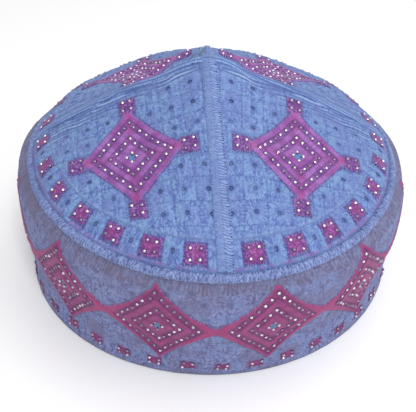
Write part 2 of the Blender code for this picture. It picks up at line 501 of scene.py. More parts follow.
@dataclass(frozen=True)
class QuiltCell:
    """One quilted square: a stitched groove round it, a worked eyelet in the middle."""

    pitch: float = 9.6
    puff: float = 0.55
    groove_width: float = 0.9
    hole_radius: float = 0.95
    hole_depth: float = 0.55
    ring_radius: float = 1.8
    ring_width: float = 0.5
    ring_height: float = 0.16
    rays: int = 16
    ray_height: float = 0.10
    ray_start: Range = (1.6, 2.6)
    ray_end: Range = (0.2, 1.2)

    def relief(self, cells: Array, eyelet: Array) -> Array:
        """Return the height of the quilting.

        The cloth rises from the groove by one minus an exponential, sinks into the eyelet's hole,
        stands up in a ring round it, and ripples with the stitches that fan out from it.

        Args:
            cells: Place in the quilting, one unit a cell.
            eyelet: One where the eyelet is open.

        Returns:
            Height in millimetres.
        """
        local = cells - np.floor(cells) - 0.5
        to_edge = (0.5 - np.abs(local).max(axis=-1)) * self.pitch
        radius = np.linalg.norm(local, axis=-1) * self.pitch
        angle = np.arctan2(local[..., 1], local[..., 0])
        puff = self.puff * (1 - np.exp(-to_edge / self.groove_width))
        hole = -self.hole_depth * np.exp(-((radius / self.hole_radius) ** 4))
        ring = self.ring_height * bell(radius, self.ring_radius, self.ring_width)
        fan = self.ray_height * np.cos(self.rays * angle)
        fan = fan * ease(*self.ray_start, radius) * ease(*self.ray_end, to_edge)
        return puff + (hole + ring) * eyelet + fan


@dataclass(frozen=True)
class SatinStitch:
    """How satin stands on the ground and which way its threads run; sizes in millimetres."""

    lift: float = 0.25
    square_height: float = 0.42
    rise: Range = (-0.35, 0.25)
    groove: float = 0.35
    groove_at: float = -0.25
    groove_width: float = 0.35
    in_square: float = -0.4
    near_square: float = -0.9
    open_ground: float = -1.5
    square_mark: float = 2.2

    def relief(self, ground: Array, satin: Array, squares: Array, frames: Array) -> Array:
        """Return the height of cloth and satin together, blended over a small step at the satin's edge."""
        worked = ease(*self.rise, satin)
        on_shapes = np.where(squares > self.in_square, self.square_height, frames)
        groove = self.groove * bell(satin, self.groove_at, self.groove_width)
        return ground * (1 - worked) + (on_shapes + self.lift) * worked - groove

    def mark(self, frame: Array, squares: Array) -> Array:
        """Return the frame share, with the small squares marked by a number over two."""
        return np.where(squares > self.in_square, self.square_mark, frame)

    def run(self, satin: Array, squares: Array, on_square: Array, sides: tuple, on_ground: Array) -> Array:
        """Return the running length along the edge that the threads cross."""
        on_diamond = (sides[0] - sides[1]) / math.sqrt(2)
        on_satin = np.where(squares > self.near_square, on_square, on_diamond)
        return np.where(satin < self.open_ground, on_ground, on_satin)


@dataclass(frozen=True)
class CrownPattern:
    """The needlework of one gore, in millimetres of the crown's disc measured from the two seams.

    The quilting leans a little towards each seam on its way to the rim, as the dome's cut needs.
    The rim row's ridge, groove and light are each a height, a distance outwards from the row's inner
    edge and a width.
    """

    disc: float = 86.6
    middle_across: float = 36.1
    middle_along: float = 36.4
    lean: float = 0.09
    pitch_across: float = 9.87
    pitch_along: float = 9.40
    half_diagonal: float = 20.7
    edge: float = 1.08
    square_at: float = 1.21
    square_half: float = 3.65
    square_studs: float = 2.0
    rim_at: float = 0.938
    rim_first: float = 8.2
    rim_step: float = 12.65
    rim_count: int = 7
    rim_half_along: float = 4.4
    rim_half_out: float = 3.15
    rim_row_half: float = 4.9
    rim_studs_along: float = 2.0
    rim_studs_out: float = 1.65
    rim_squeeze: float = 1.1
    rim_line: float = 4.35
    rim_row_over: float = 1.0
    settle: float = 0.5
    fillet: float = 0.8
    eyelet_clear: float = 2.2
    row_clear: float = 2.0
    strand_reach: float = 4.0
    strand_spread: float = 0.12
    strand_fade: float = 3.0
    strand_start: Range = (3.0, 9.0)
    strand_at_satin: Range = (0.2, -0.8)
    strand_height: float = 0.32
    strand_press: float = 0.8
    strand_tone: float = 0.22
    row_ridge: tuple = (0.22, -0.3, 0.6)
    row_groove: tuple = (0.3, 0.9, 0.5)
    row_light: tuple = (0.14, -0.4, 0.6)
    fuzz: Bumps = Bumps(0.10, 1.3, seed=1)
    humps: Bumps = Bumps(0.22, 6.0, seed=2)
    sway: Bumps = Bumps(0.55, 15.0, seed=4)
    seam_clear: Range = (2.8, 4.2)
    rim_clear: Range = (0.1, 1.6)
    rose_width: float = 1.7
    rose_end: float = 0.2
    rose_inner: float = 0.25
    rose_inner_from: Range = (0.3, 0.4)
    rose_outer: float = 0.35
    rose_outer_from: Range = (0.86, 0.98)
    heart_rose: float = 0.5
    heart_width: float = 2.6
    line_tone: float = 0.9
    line_width: float = 0.35
    line_start: Range = (1.0, 4.0)
    line_bumps: Bumps = Bumps(1.0, 2.0, seed=7)
    line_breaks: Range = (-0.6, 0.1)
    rim_studs_spread: float = 0.5
    rim_studs_out_spread: float = 0.3
    strands: LaidStrands = LaidStrands(seed=3)
    stitch: SatinStitch = SatinStitch()
    medallion: Medallion = Medallion()
    cell: QuiltCell = QuiltCell()

    def straighten(self, across: Array, along: Array) -> tuple[Array, Array]:
        """Undo the quilting's lean, by inverting the shear about the medallion's middle."""
        to_right = across - self.middle_across
        to_rim = along - self.middle_along
        full = 1 - self.lean**2
        return (to_right + self.lean * to_rim) / full, (to_rim + self.lean * to_right) / full

    def lean_over(self, across: Array, along: Array) -> tuple[Array, Array]:
        """Return disc places, as shares of the rim, for places in the straight pattern."""
        leaned_across = self.middle_across + across - self.lean * along
        leaned_along = self.middle_along + along - self.lean * across
        return leaned_across / self.disc, leaned_along / self.disc

    def corner_squares(self) -> Array:
        """Return the middles of the four squares at the medallion's corners, in the straight pattern."""
        reach = self.square_at * self.half_diagonal
        return np.array([[reach, 0.0], [0.0, reach], [-reach, 0.0], [0.0, -reach]])

    def rim_turns(self) -> Array:
        """Return the angles of the rim's squares from the front or back seam, radians."""
        return np.radians(self.rim_first + self.rim_step * np.arange(self.rim_count))

    def rim_local(self, across: Array, along: Array) -> tuple[Array, Array, Array]:
        """Return place along and across the rim's row, and the running number along it.

        Args:
            across: Millimetres from the front and back seam line.
            along: Millimetres from the side seam line.

        Returns:
            Millimetres along the rim from the nearest square, millimetres outwards from the row's
            middle, and how many squares the place is past the first.
        """
        turn = np.degrees(np.arctan2(across, along))
        number = (turn - self.rim_first) / self.rim_step
        nearest = np.clip(np.round(number), 0, self.rim_count - 1)
        outwards = np.hypot(across, along) - self.rim_at * self.disc
        sideways = np.radians((number - nearest) * self.rim_step) * self.rim_at * self.disc
        return sideways, outwards, number

    def embroidery(self, across: Array, along: Array) -> tuple[Array, Array, Array]:
        """Measure how far inside the embroidered shapes a place lies.

        Args:
            across: Millimetres from the front and back seam line.
            along: Millimetres from the side seam line.

        Returns:
            Distance inside the shapes, the medallion's frame share, and distance inside the squares.
        """
        right, rimward = self.straighten(across, along)
        frame = (np.abs(right) + np.abs(rimward)) / self.half_diagonal
        diamond = (self.edge - frame) * self.half_diagonal / math.sqrt(2)
        offsets = np.stack([right, rimward], axis=-1)[..., None, :] - self.corner_squares()
        squares = (self.square_half - np.abs(offsets).max(axis=-1)).max(axis=-1)
        sideways, outwards, _ = self.rim_local(across, along)
        squeeze = self.rim_squeeze * (across / np.maximum(np.hypot(across, along), 1.0)) ** 2
        rim_along = self.rim_half_along - squeeze - np.abs(sideways)
        rim = np.minimum(rim_along, self.rim_half_out - np.abs(outwards))
        return np.maximum(join_softly(diamond, squares, self.fillet), rim), frame, np.maximum(squares, rim)

    def open_eyelets(self, inner: Array) -> Array:
        """Return one where the middle of a place's cell is well clear of every embroidered shape."""
        centre = np.floor(inner)
        across, along = self.lean_over(centre[..., 0] * self.pitch_across, centre[..., 1] * self.pitch_along)
        covered, _, _ = self.embroidery(across * self.disc, along * self.disc)
        row_start = self.rim_at * self.disc - self.rim_row_half - self.row_clear
        clear_of_row = np.hypot(across, along) * self.disc < row_start
        return ((covered < -self.eyelet_clear) & clear_of_row).astype(float)

    def strand_cover(self, across: Array, along: Array, satin: Array) -> Array:
        """Return how fully the loose strands beside the side seams cover the ground."""
        reach = self.strand_reach + self.strand_spread * across
        near_seam = ease(reach + self.strand_fade, reach, along) * ease(*self.strand_start, across)
        return near_seam * ease(*self.strand_at_satin, satin)

    def row_edge(self, outwards: Array, mark: tuple) -> Array:
        """Return a bell beside the inner edge of the rim's row, by its height, distance and width."""
        height, distance, width = mark
        return height * bell(outwards, distance - self.rim_row_half, width)

    def rose(self, near: Array, frame: Array, squares: Array, from_square: Array) -> Array:
        """Return where the satin turns to the rose thread.

        Args:
            near: Distance from the nearer of the medallion's two diagonals.
            frame: The medallion's frame share.
            squares: Distance inside the small squares.
            from_square: Distance from the middle of the rim's nearest square.

        Returns:
            The rose thread's share, along the medallion's diagonals and in the rim's squares.
        """
        inner = self.rose_inner * ease(*self.rose_inner_from, frame)
        outer = self.rose_outer * ease(*self.rose_outer_from, frame)
        neck = bell(near, 0.0, self.rose_width) * (inner + outer) * (squares < self.rose_end)
        heart = self.heart_rose * bell(from_square, 0.0, self.heart_width)
        return np.clip(np.maximum(neck, heart), 0, 1)

    def couched_line(self, across: Array, along: Array, outwards: Array) -> Array:
        """Return the thin thread outside the rim's squares, broken up by random gaps."""
        gaps = ease(*self.line_breaks, self.line_bumps.at(across, along))
        line = self.line_tone * bell(outwards, self.rim_line, self.line_width)
        return line * ease(*self.line_start, along) * ease(*self.line_start, across) * gaps

    def work(self, across: Array, along: Array) -> Needlework:
        """Work out the needlework at each place of a gore.

        Args:
            across: Millimetres from the front and back seam line.
            along: Millimetres from the side seam line.

        Returns:
            The needlework's height and the values for the cloth's material.
        """
        right, rimward = self.straighten(across, along)
        sideways, outwards, number = self.rim_local(across, along)
        in_row = np.abs(outwards) < self.rim_row_half
        inner = np.stack([right / self.pitch_across, rimward / self.pitch_along], axis=-1) + 0.5
        row_half = self.rim_row_half + self.rim_row_over * (outwards > 0)
        row = np.stack([2 * number + 0.5, outwards / (2 * row_half) + 0.5], axis=-1)
        cells = np.where(in_row[..., None], row, inner)
        satin, frame, squares = self.embroidery(across, along)
        lines = self.strand_cover(across, along, satin) * (1 - in_row)
        eyelet = np.where(in_row, (satin < 0).astype(float), self.open_eyelets(inner)) * (1 - lines)
        strand = self.strands.ridges(across, along)

        ground = self.cell.relief(cells, eyelet) * (1 - self.strand_press * lines)
        ground += self.strand_height * lines * strand
        ground += self.row_edge(outwards, self.row_ridge) - self.row_edge(outwards, self.row_groove)
        ground += self.fuzz.at(across, along) + self.humps.at(across, along)
        height = self.stitch.relief(ground, satin, squares, self.medallion.relief(frame))
        height += self.sway.at(across, along) - self.settle
        out = np.hypot(across, along)
        rim_fade = ease(self.disc - self.rim_clear[0], self.disc - self.rim_clear[1], out)
        seam_fade = ease(*self.seam_clear, across) * ease(*self.seam_clear, along) * rim_fade

        sides = (np.abs(right), np.abs(rimward))
        far, near = np.maximum(*sides), np.minimum(*sides)
        half = self.square_half
        on_corner = side_run(far - self.square_at * self.half_diagonal, near, half, half)
        on_rim = side_run(sideways, outwards, self.rim_half_along, self.rim_half_out)
        on_square = np.where(in_row, on_rim, on_corner)
        row_light = self.row_edge(outwards, self.row_light) * (satin < 0)
        return Needlework(
            height=height * seam_fade,
            cells=cells,
            satin=satin,
            frame=self.stitch.mark(frame, squares),
            thread=self.stitch.run(satin, squares, on_square, sides, along),
            eyelet=eyelet,
            rose=self.rose(near, frame, squares, np.hypot(sideways, outwards)),
            whip=lines * (self.strand_tone - strand) - row_light,
            line=self.couched_line(across, along, outwards),
        )

    def stud_places(self) -> Array:
        """Return the disc places of a gore's studs, as shares of the rim."""
        in_medallion = self.medallion.studs() * self.half_diagonal
        in_squares = (self.corner_squares()[:, None] + TWO_BY_TWO * self.square_studs).reshape(-1, 2)
        straight = np.concatenate([in_medallion, in_squares])
        leaned = np.stack(self.lean_over(straight[:, 0], straight[:, 1]), axis=-1)
        reach = self.rim_at * self.disc
        spread = self.rim_studs_spread * np.sin(self.rim_turns()[:, None]) ** 2
        turns = self.rim_turns()[:, None] + TWO_BY_TWO[:, 0] * (self.rim_studs_along + spread) / reach
        from_row = TWO_BY_TWO[:, 1] * (self.rim_studs_out + self.rim_studs_out_spread * spread)
        outs = (reach + from_row) / self.disc
        on_rim = np.stack([outs * np.sin(turns), outs * np.cos(turns)], axis=-1).reshape(-1, 2)
        return np.concatenate([leaned, on_rim])


@dataclass(frozen=True)
class BandPattern:
    """The needlework of the side band: a chain of medallions over a row of small squares.

    A sway is a height, its waves round the cap and where they start, and then its waves up the wall.
    """

    radius: float = 93.0
    tall: float = 72.0
    count: int = 12
    joint_turn: float = -2.1
    half_turn: float = 13.4
    centre_share: float = 0.542
    half_share: float = 0.384
    joint_share: float = 0.553
    edge_sides: tuple = (0.00, 0.28, 0.54, 0.67, 0.79, 0.89, 1.00)
    upper_edge: tuple = (1.00, 0.665, 0.405, 0.295, 0.210, 0.145, 0.088)
    lower_edge: tuple = (1.00, 0.690, 0.460, 0.340, 0.240, 0.160, 0.090)
    edge_slant: float = 0.62
    leans: tuple = (0.0, 0.24, 0.05, -0.04, 0.06, 0.0, -0.05, 0.04, -0.06, 0.03, -0.03, 0.0)
    talls: tuple = (1.0, 1.075, 1.02, 0.98, 1.0, 1.02, 0.98, 1.0, 1.02, 0.98, 1.0, 1.0)
    hem_count: int = 38
    hem_turn: float = 0.27
    hem_share: float = 0.111
    hem_half_long: float = 3.3
    hem_half_tall: float = 2.5
    hem_studs_long: float = 2.2
    hem_studs_tall: float = 1.45
    cells_per_medallion: int = 5
    cell_tall: float = 9.6
    whip_tall: float = 6.3
    whip_pitch: float = 1.6
    whip_edge: float = 0.4
    whip_base: float = 0.2
    whip_height: float = 0.28
    whip_roundness: float = 0.8
    whip_drift: Bumps = Bumps(0.8, 2.0, seed=13)
    whip_slant: float = 0.7
    whip_tone: float = 1.15
    whip_ridge_tone: float = 0.85
    # Painted shade under the roll: the ground is painted darker from 21.5 mm up to 6.5 mm below the band's top.
    under_whips: float = 0.18
    painted_shade_under_roll_reach: Range = (21.5, 6.5)
    # Painted shade at the hem: the ground is painted darker over the lowest 6 % of the band.
    hem_shade: float = 0.5
    hem_shade_reach: Range = (0.06, 0.0)
    eyelet_clear: float = 2.0
    eyelet_lowest: float = 0.2
    eyelet_highest: float = 0.86
    quilt_start: Range = (0.17, 0.21)
    fuzz: Bumps = Bumps(0.10, 1.4, seed=11)
    humps: Bumps = Bumps(0.2, 5.0, seed=12)
    fold_rows: tuple = (3.4, 11.6)
    fold_depth: float = 0.28
    fold_width: float = 0.55
    thread_scales: tuple = (21.8, 27.6)
    neck_rose: Range = (0.86, 1.0)
    tip_rose: Range = (0.93, 0.97)
    slow_sway: tuple = (0.6, 5, 1.3, 4.2, 0.4)
    quick_sway: tuple = (0.3, 11, 0.2, 2.5)
    sway_above: Range = (0.0, 0.15)
    sway_below: Range = (1.0, 0.85)
    stitch: SatinStitch = SatinStitch(lift=0.15, square_height=0.30, groove=0.3)
    medallion: Medallion = Medallion()
    cell: QuiltCell = QuiltCell(puff=0.14, hole_depth=0.35, hole_radius=0.9, ring_height=0.10, groove_width=1.6)

    def locate(self, turn: Array, share: Array) -> tuple[Array, Array]:
        """Return place from the nearest medallion's middle, as shares of its half sizes.

        Each medallion leans a little and is a little taller or lower, as it was sewn on.

        Args:
            turn: Angle round the cap, radians.
            share: Height share.

        Returns:
            Share sideways and share upwards.
        """
        apart = 360.0 / self.count
        offset = (np.degrees(turn) - self.joint_turn) / apart
        sideways = (offset - np.floor(offset) - 0.5) * apart / self.half_turn
        drift = (self.joint_share - self.centre_share) * np.clip(np.abs(sideways), 0, 1)
        number = np.floor(offset).astype(int) % self.count
        upwards = (share - self.centre_share - drift) / (self.half_share * np.array(self.talls)[number])
        return sideways + np.array(self.leans)[number] * upwards, upwards

    def hem_place(self, turn: Array, share: Array) -> tuple[Array, Array]:
        """Return millimetres sideways and upwards from the nearest of the hem's squares."""
        apart = 360.0 / self.hem_count
        offset = (np.degrees(turn) - self.hem_turn) / apart
        sideways = np.radians((offset - np.round(offset)) * apart) * self.radius
        return sideways, (share - self.hem_share) * self.tall

    def embroidery(self, turn: Array, share: Array) -> tuple[Array, Array, Array]:
        """Measure how far inside the embroidered shapes a place lies.

        Args:
            turn: Angle round the cap, radians.
            share: Height share.

        Returns:
            Distance inside the shapes, the medallion's frame share, and distance inside hem squares.
        """
        sideways, upwards = self.locate(turn, share)
        frame = np.abs(sideways) + np.abs(upwards)
        side = np.abs(sideways) * self.half_turn * self.count / 180
        upper = smooth_curve(self.edge_sides, self.upper_edge, side)
        lower = smooth_curve(self.edge_sides, self.lower_edge, side)
        reach = np.where(upwards > 0, upper, lower) - np.abs(upwards)
        diamond = reach * self.half_share * self.tall * self.edge_slant
        hem_sideways, hem_upwards = self.hem_place(turn, share)
        hem_long = self.hem_half_long - np.abs(hem_sideways)
        hem = np.minimum(hem_long, self.hem_half_tall - np.abs(hem_upwards))
        return np.maximum(diamond, hem), frame, hem

    def sway(self, turn: Array, share: Array) -> Array:
        """Return the wall's slow unevenness, two waves round the cap that fade at the hem and the rim."""
        height, waves, start, rise, rise_start = self.slow_sway
        slow = height * np.sin(waves * turn + start) * np.sin(rise * share + rise_start)
        height, waves, start, rise = self.quick_sway
        both = slow + height * np.sin(waves * turn + start + rise * share)
        return both * ease(*self.sway_above, share) * ease(*self.sway_below, share)

    def open_eyelets(self, column: Array, line: Array, cell_turn: float) -> Array:
        """Return one where the middle of a place's cell is clear of the shapes, the hem and the roll."""
        middle_turn = np.radians((np.floor(column) + 0.5) * cell_turn + self.joint_turn)
        middle_share = np.floor(line) * self.cell_tall / self.tall + self.centre_share
        covered, _, _ = self.embroidery(middle_turn, middle_share)
        in_reach = (middle_share > self.eyelet_lowest) & (middle_share < self.eyelet_highest)
        return ((covered < -self.eyelet_clear) & in_reach).astype(float)

    def work(self, turn: Array, share: Array, top_share: Array) -> Needlework:
        """Work out the needlework at each place of the band.

        Whip stitches cover the ground under the roll, each a ridge shaped by a cosine, and two rows
        of running stitches draw the hem's fold in. Painted shade darkens the ground under the roll and
        at the hem.

        Args:
            turn: Angle round the cap, radians.
            share: Height share.
            top_share: The share at which the band ends at that turn.

        Returns:
            The needlework's height and the values for the cloth's material.
        """
        sideways, upwards = self.locate(turn, share)
        satin, frame, hem = self.embroidery(turn, share)
        round_mm, up_mm = turn * self.radius, share * self.tall
        cell_turn = 360.0 / self.count / self.cells_per_medallion
        column = (np.degrees(turn) - self.joint_turn) / cell_turn
        line = (share - self.centre_share) * self.tall / self.cell_tall + 0.5
        cells = np.stack([column, line], axis=-1)
        eyelet = self.open_eyelets(column, line, cell_turn)
        ground = self.cell.relief(cells, eyelet) * ease(*self.quilt_start, share)
        ground += self.fuzz.at(round_mm, up_mm) + self.humps.at(round_mm, up_mm)

        from_top = (top_share - share) * self.tall
        whip = ease(self.whip_tall + self.whip_edge, self.whip_tall - self.whip_edge, from_top)
        drift = self.whip_drift.at(round_mm, self.whip_slant * from_top)
        wave = np.abs(np.cos(math.pi * (round_mm + drift) / self.whip_pitch)) ** self.whip_roundness
        whip_ridge = self.whip_height * wave
        ground = ground * (1 - whip) + (self.whip_base + whip_ridge) * whip
        for row_mm in self.fold_rows:
            ground -= self.fold_depth * bell(up_mm, row_mm, self.fold_width)
        height = self.stitch.relief(ground, satin, hem, self.medallion.relief(frame))

        on_square = side_run(*self.hem_place(turn, share), self.hem_half_long, self.hem_half_tall)
        sides = (np.abs(sideways) * self.thread_scales[0], np.abs(upwards) * self.thread_scales[1])
        rose = np.maximum(ease(*self.neck_rose, np.abs(sideways)), ease(*self.tip_rose, frame))
        # The band's whip value is the whip stitches' tone together with the painted shade under the roll and at
        # the hem.
        whips_and_painted_shade = (
            whip * (self.whip_tone - self.whip_ridge_tone * whip_ridge / self.whip_height),
            self.under_whips * ease(*self.painted_shade_under_roll_reach, from_top),
            self.hem_shade * ease(*self.hem_shade_reach, share),
        )
        return Needlework(
            height=height + self.sway(turn, share),
            cells=cells,
            satin=satin,
            frame=self.stitch.mark(frame, hem),
            thread=self.stitch.run(satin, hem, on_square, sides, round_mm),
            eyelet=eyelet,
            rose=np.clip(rose * (hem < self.stitch.in_square), 0, 1),
            whip=np.maximum.reduce(whips_and_painted_shade),
            line=0 * whip,
        )

    def stud_places(self) -> tuple[Array, Array]:
        """Return the turns and height shares of the medallions' studs."""
        places = self.medallion.studs()
        middles = self.joint_turn + (np.arange(self.count) + 0.5) * 360.0 / self.count
        leaned = places[None, :, 0] - np.array(self.leans)[:, None] * places[None, :, 1]
        turns = np.radians(middles[:, None] + leaned * self.half_turn)
        drift = (self.joint_share - self.centre_share) * np.abs(places[:, 0])
        shares = self.centre_share + drift + places[:, 1] * self.half_share * np.array(self.talls)[:, None]
        return turns.ravel(), shares.ravel()

    def hem_stud_places(self) -> tuple[Array, Array]:
        """Return the turns and height shares of the hem squares' studs."""
        middles = np.radians(self.hem_turn + np.arange(self.hem_count) * 360.0 / self.hem_count)
        turns = middles[:, None] + TWO_BY_TWO[:, 0] * self.hem_studs_long / self.radius
        shares = self.hem_share + TWO_BY_TWO[:, 1] * self.hem_studs_tall / self.tall + 0 * turns
        return turns.ravel(), shares.ravel()


def make_piece(
    name: str, points: Array, faces: list, materials: list, face_slots: Array | None = None
) -> bpy.types.Object:
    """Link a smooth-shaded mesh whose faces point outwards.

    Args:
        name: The piece's name.
        points: Its points, three numbers a row.
        faces: Its faces, as lists of point numbers.
        materials: Its materials, in slot order.
        face_slots: Which material each face has, or None for the first.

    Returns:
        The linked object.
    """
    mesh = bpy.data.meshes.new(name)
    mesh.from_pydata(points.reshape(-1, 3).tolist(), [], faces)
    for material in materials:
        mesh.materials.append(material)
    if face_slots is not None:
        mesh.polygons.foreach_set("material_index", face_slots.astype(np.int32))
    work = bmesh.new()
    work.from_mesh(mesh)
    bmesh.ops.recalc_face_normals(work, faces=work.faces)
    work.to_mesh(mesh)
    work.free()
    mesh.shade_smooth()
    mesh.update()
    piece = bpy.data.objects.new(name, mesh)
    bpy.context.scene.collection.objects.link(piece)
    return piece


def store(piece: bpy.types.Object, name: str, values: Array) -> None:
    """Keep one number for each point of a piece as a named attribute."""
    layer = piece.data.attributes.new(name, "FLOAT", "POINT")
    layer.data.foreach_set("value", np.ascontiguousarray(values, np.float32).ravel())


def store_uv(piece: bpy.types.Object, name: str, places: Array) -> None:
    """Keep a place in the cloth for each point of a piece as a named UV map."""
    mesh = piece.data
    corners = np.empty(len(mesh.loops), np.int32)
    mesh.loops.foreach_get("vertex_index", corners)
    layer = mesh.uv_layers.new(name=name)
    layer.data.foreach_set("uv", np.ascontiguousarray(places.reshape(-1, 2)[corners], np.float32).ravel())


def grid_quads(rows: int, columns: int, wrap_rows: bool = False, wrap_columns: bool = False) -> Array:
    """Return the quads of a grid of points numbered row by row.

    Args:
        rows: How many rows of points.
        columns: How many points in a row.
        wrap_rows: Whether the last row joins the first.
        wrap_columns: Whether a row's last point joins its first.

    Returns:
        An array of quads, four point numbers a row.
    """
    row = np.arange(rows if wrap_rows else rows - 1)[:, None]
    column = np.arange(columns if wrap_columns else columns - 1)[None, :]
    below, right = (row + 1) % rows, (column + 1) % columns
    near, far = row * columns, below * columns
    quads = np.stack([near + column, far + column, far + right, near + right], axis=-1)
    return quads.reshape(-1, 4)


@dataclass(frozen=True)
class Stud:
    """A small domed nailhead in a dark thread setting; sizes in metres."""

    sides: int = 8
    radii: tuple = (0.00108, 0.00100, 0.00070, 0.00066, 0.00052, 0.00028)
    rises: tuple = (-0.00030, 0.00010, 0.00012, 0.00032, 0.00052, 0.00062)
    peak: float = 0.00065
    setting_rings: int = 2
    lean: float = 0.16
    metal_share: float = 1.0
    # The least share of painted dim reflection a stud gets: a darker colour for a stud that catches no light.
    least_painted_dim_reflection: float = 0.0
    aside: tuple = (0.31, 0.17, 0.94)

    def build(self, name: str, centres: Array, normals: Array, materials: list) -> bpy.types.Object:
        """Copy one lathe-turned dome onto every place, as one mesh.

        A profile of radii and rises is carried round a circle and closed with a point on top; each copy
        is turned so that its axis is the cloth's normal.

        Args:
            name: The piece's name.
            centres: Where the domes sit, three numbers a row.
            normals: The cloth's outward direction there.
            materials: Metal first, then the setting.

        Returns:
            The linked piece.
        """
        angles = np.arange(self.sides) * 2 * math.pi / self.sides
        shares = np.where(np.arange(len(self.radii)) > self.setting_rings, self.metal_share, 1.0)
        rings = (np.array(self.radii) * shares)[:, None]
        level = np.stack([rings * np.cos(angles), rings * np.sin(angles)], axis=-1)
        lift = np.broadcast_to(np.array(self.rises)[:, None, None], level.shape[:2] + (1,))
        dome = np.concatenate([np.concatenate([level, lift], axis=-1).reshape(-1, 3), [[0, 0, self.peak]]])
        quads = grid_quads(len(self.radii), self.sides, wrap_columns=True)
        last = (len(self.radii) - 1) * self.sides
        here = last + np.arange(self.sides)
        after = last + (np.arange(self.sides) + 1) % self.sides
        cap = np.stack([here, after, np.full(self.sides, len(dome) - 1)], axis=-1)
        base = np.arange(self.sides)[None, ::-1]
        chance = np.random.default_rng(len(centres))
        normals = unit(normals + chance.normal(0, self.lean, normals.shape))
        side = unit(np.cross(normals, np.array(self.aside)))
        turned = dome[None, :, :1] * side[:, None] + dome[None, :, 1:2] * np.cross(normals, side)[:, None]
        points = centres[:, None] + (turned + dome[None, :, 2:] * normals[:, None])
        starts = np.arange(len(centres))[:, None, None] * len(dome)
        faces: list = []
        slots = []
        for block, slot_numbers in (
            (quads, (np.arange(len(quads)) < self.setting_rings * self.sides).astype(int)),
            (cap, np.zeros(len(cap), int)),
            (base, np.ones(1, int)),
        ):
            faces += (starts + block[None]).reshape(-1, block.shape[1]).tolist()
            slots.append(np.tile(slot_numbers, len(centres)))
        studs = make_piece(name, points, faces, materials, np.concatenate(slots))
        # A random share of painted dim reflection for each stud, which paints its colour darker as if it caught
        # no light.
        store(studs, "painted_dim_reflection", np.repeat(chance.uniform(self.least_painted_dim_reflection, 1, len(centres)), len(dome)))
        return studs


class Wire:
    """A value inside a shader tree, on which ordinary arithmetic adds Math nodes."""

    def __init__(self, tree: bpy.types.NodeTree, socket: bpy.types.NodeSocket) -> None:
        """Hold a tree and the output socket that carries the value."""
        self.tree = tree
        self.socket = socket

    def math(self, operation: str, *others: object) -> "Wire":
        """Add one Math node with this value first."""
        node = self.tree.nodes.new("ShaderNodeMath")
        node.operation = operation
        fill(node, dict(enumerate((self, *others))))
        return Wire(self.tree, node.outputs[0])

    def __add__(self, other: object) -> "Wire":
        """Add."""
        return self.math("ADD", other)

    def __sub__(self, other: object) -> "Wire":
        """Subtract."""
        return self.math("SUBTRACT", other)

    def __mul__(self, other: object) -> "Wire":
        """Multiply."""
        return self.math("MULTIPLY", other)

    def __abs__(self) -> "Wire":
        """Drop the sign."""
        return self.math("ABSOLUTE")

    def inverse(self) -> "Wire":
        """Return one minus the value."""
        return (self * -1.0) + 1.0

    def between(self, low: float, high: float) -> "Wire":
        """Return a smooth 0 to 1 as the value goes from low to high, or 1 to 0 where low is higher."""
        node = self.tree.nodes.new("ShaderNodeMapRange")
        node.interpolation_type = "SMOOTHSTEP"
        start = 1.0 if low > high else 0.0
        reach = {"From Min": min(low, high), "From Max": max(low, high), "To Min": start, "To Max": 1.0 - start}
        fill(node, {"Value": self, **reach})
        return Wire(self.tree, node.outputs[0])

    def strip(self, low: float, high: float, soft: float) -> "Wire":
        """Return one between low and high, with soft edges."""
        return self.between(low - soft, low + soft) * self.between(high + soft, high - soft)

    def strips(self, ranges: tuple, soft: float) -> "Wire":
        """Return one inside any of several ranges, with soft edges."""
        first, *others = (self.strip(low, high, soft) for low, high in ranges)
        for other in others:
            first = first + other
        return first


def fill(node: bpy.types.Node, values: dict) -> None:
    """Link wires to a node's inputs or set plain values on them, by name or number."""
    for name, value in values.items():
        if isinstance(value, Wire):
            value.tree.links.new(value.socket, node.inputs[name])
        else:
            node.inputs[name].default_value = value


class Tree:
    """A shader tree under construction: a material's own, or a group's."""

    def __init__(self, tree: bpy.types.NodeTree) -> None:
        """Hold the tree."""
        self.tree = tree

    def node(self, kind: str, output: object = 0, inputs: dict | None = None, **settings: object) -> Wire:
        """Add a node and return one of its outputs.

        Args:
            kind: The node's type.
            output: The output's number or name.
            inputs: Values or wires for its inputs, by name or number.
            **settings: Properties of the node.

        Returns:
            The chosen output.
        """
        made = self.tree.nodes.new(kind)
        for name, value in settings.items():
            setattr(made, name, value)
        fill(made, inputs or {})
        return Wire(self.tree, made.outputs[output])

    def attribute(self, name: str) -> Wire:
        """Read one of the piece's own attributes."""
        return self.node("ShaderNodeAttribute", "Fac", attribute_name=name)

    def object_place(self) -> Wire:
        """Read the place in the cap's own frame."""
        return self.node("ShaderNodeTexCoord", "Object")

    def noise(self, place: Wire, scale: float, detail: float = 2.0) -> Wire:
        """Read a noise at a place."""
        return self.node("ShaderNodeTexNoise", "Fac", {"Vector": place, "Scale": scale, "Detail": detail})

    def split(self, vector: Wire) -> list[Wire]:
        """Take a vector apart into its three numbers."""
        made = self.tree.nodes.new("ShaderNodeSeparateXYZ")
        fill(made, {0: vector})
        return [Wire(self.tree, output) for output in made.outputs]

    def join(self, *parts: object) -> Wire:
        """Put a vector together from up to three numbers."""
        return self.node("ShaderNodeCombineXYZ", 0, dict(enumerate(parts)))

    def bump(self, height: Wire, strength: float, distance: float) -> Wire:
        """Return the shading normal of a height; distance in metres."""
        return self.node("ShaderNodeBump", 0, {"Height": height, "Strength": strength, "Distance": distance})

    def mix(self, factor: Wire, first: object, second: object) -> Wire:
        """Blend two colours, the second by the factor."""
        return self.node("ShaderNodeMix", 2, {0: factor, 6: first, 7: second}, data_type="RGBA")

    def coats(self, base: object, *coats: tuple) -> Wire:
        """Blend coats over a base colour in turn, each given as its share and its colour."""
        for share, colour in coats:
            base = self.mix(share, base, colour)
        return base

    def group(self, kind: type["Effect"], inputs: dict) -> dict[str, Wire]:
        """Place an effect's group and return its outputs by name."""
        made = self.tree.nodes.new("ShaderNodeGroup")
        made.node_tree = kind.tree()
        fill(made, inputs)
        return {output.name: Wire(self.tree, output) for output in made.outputs}


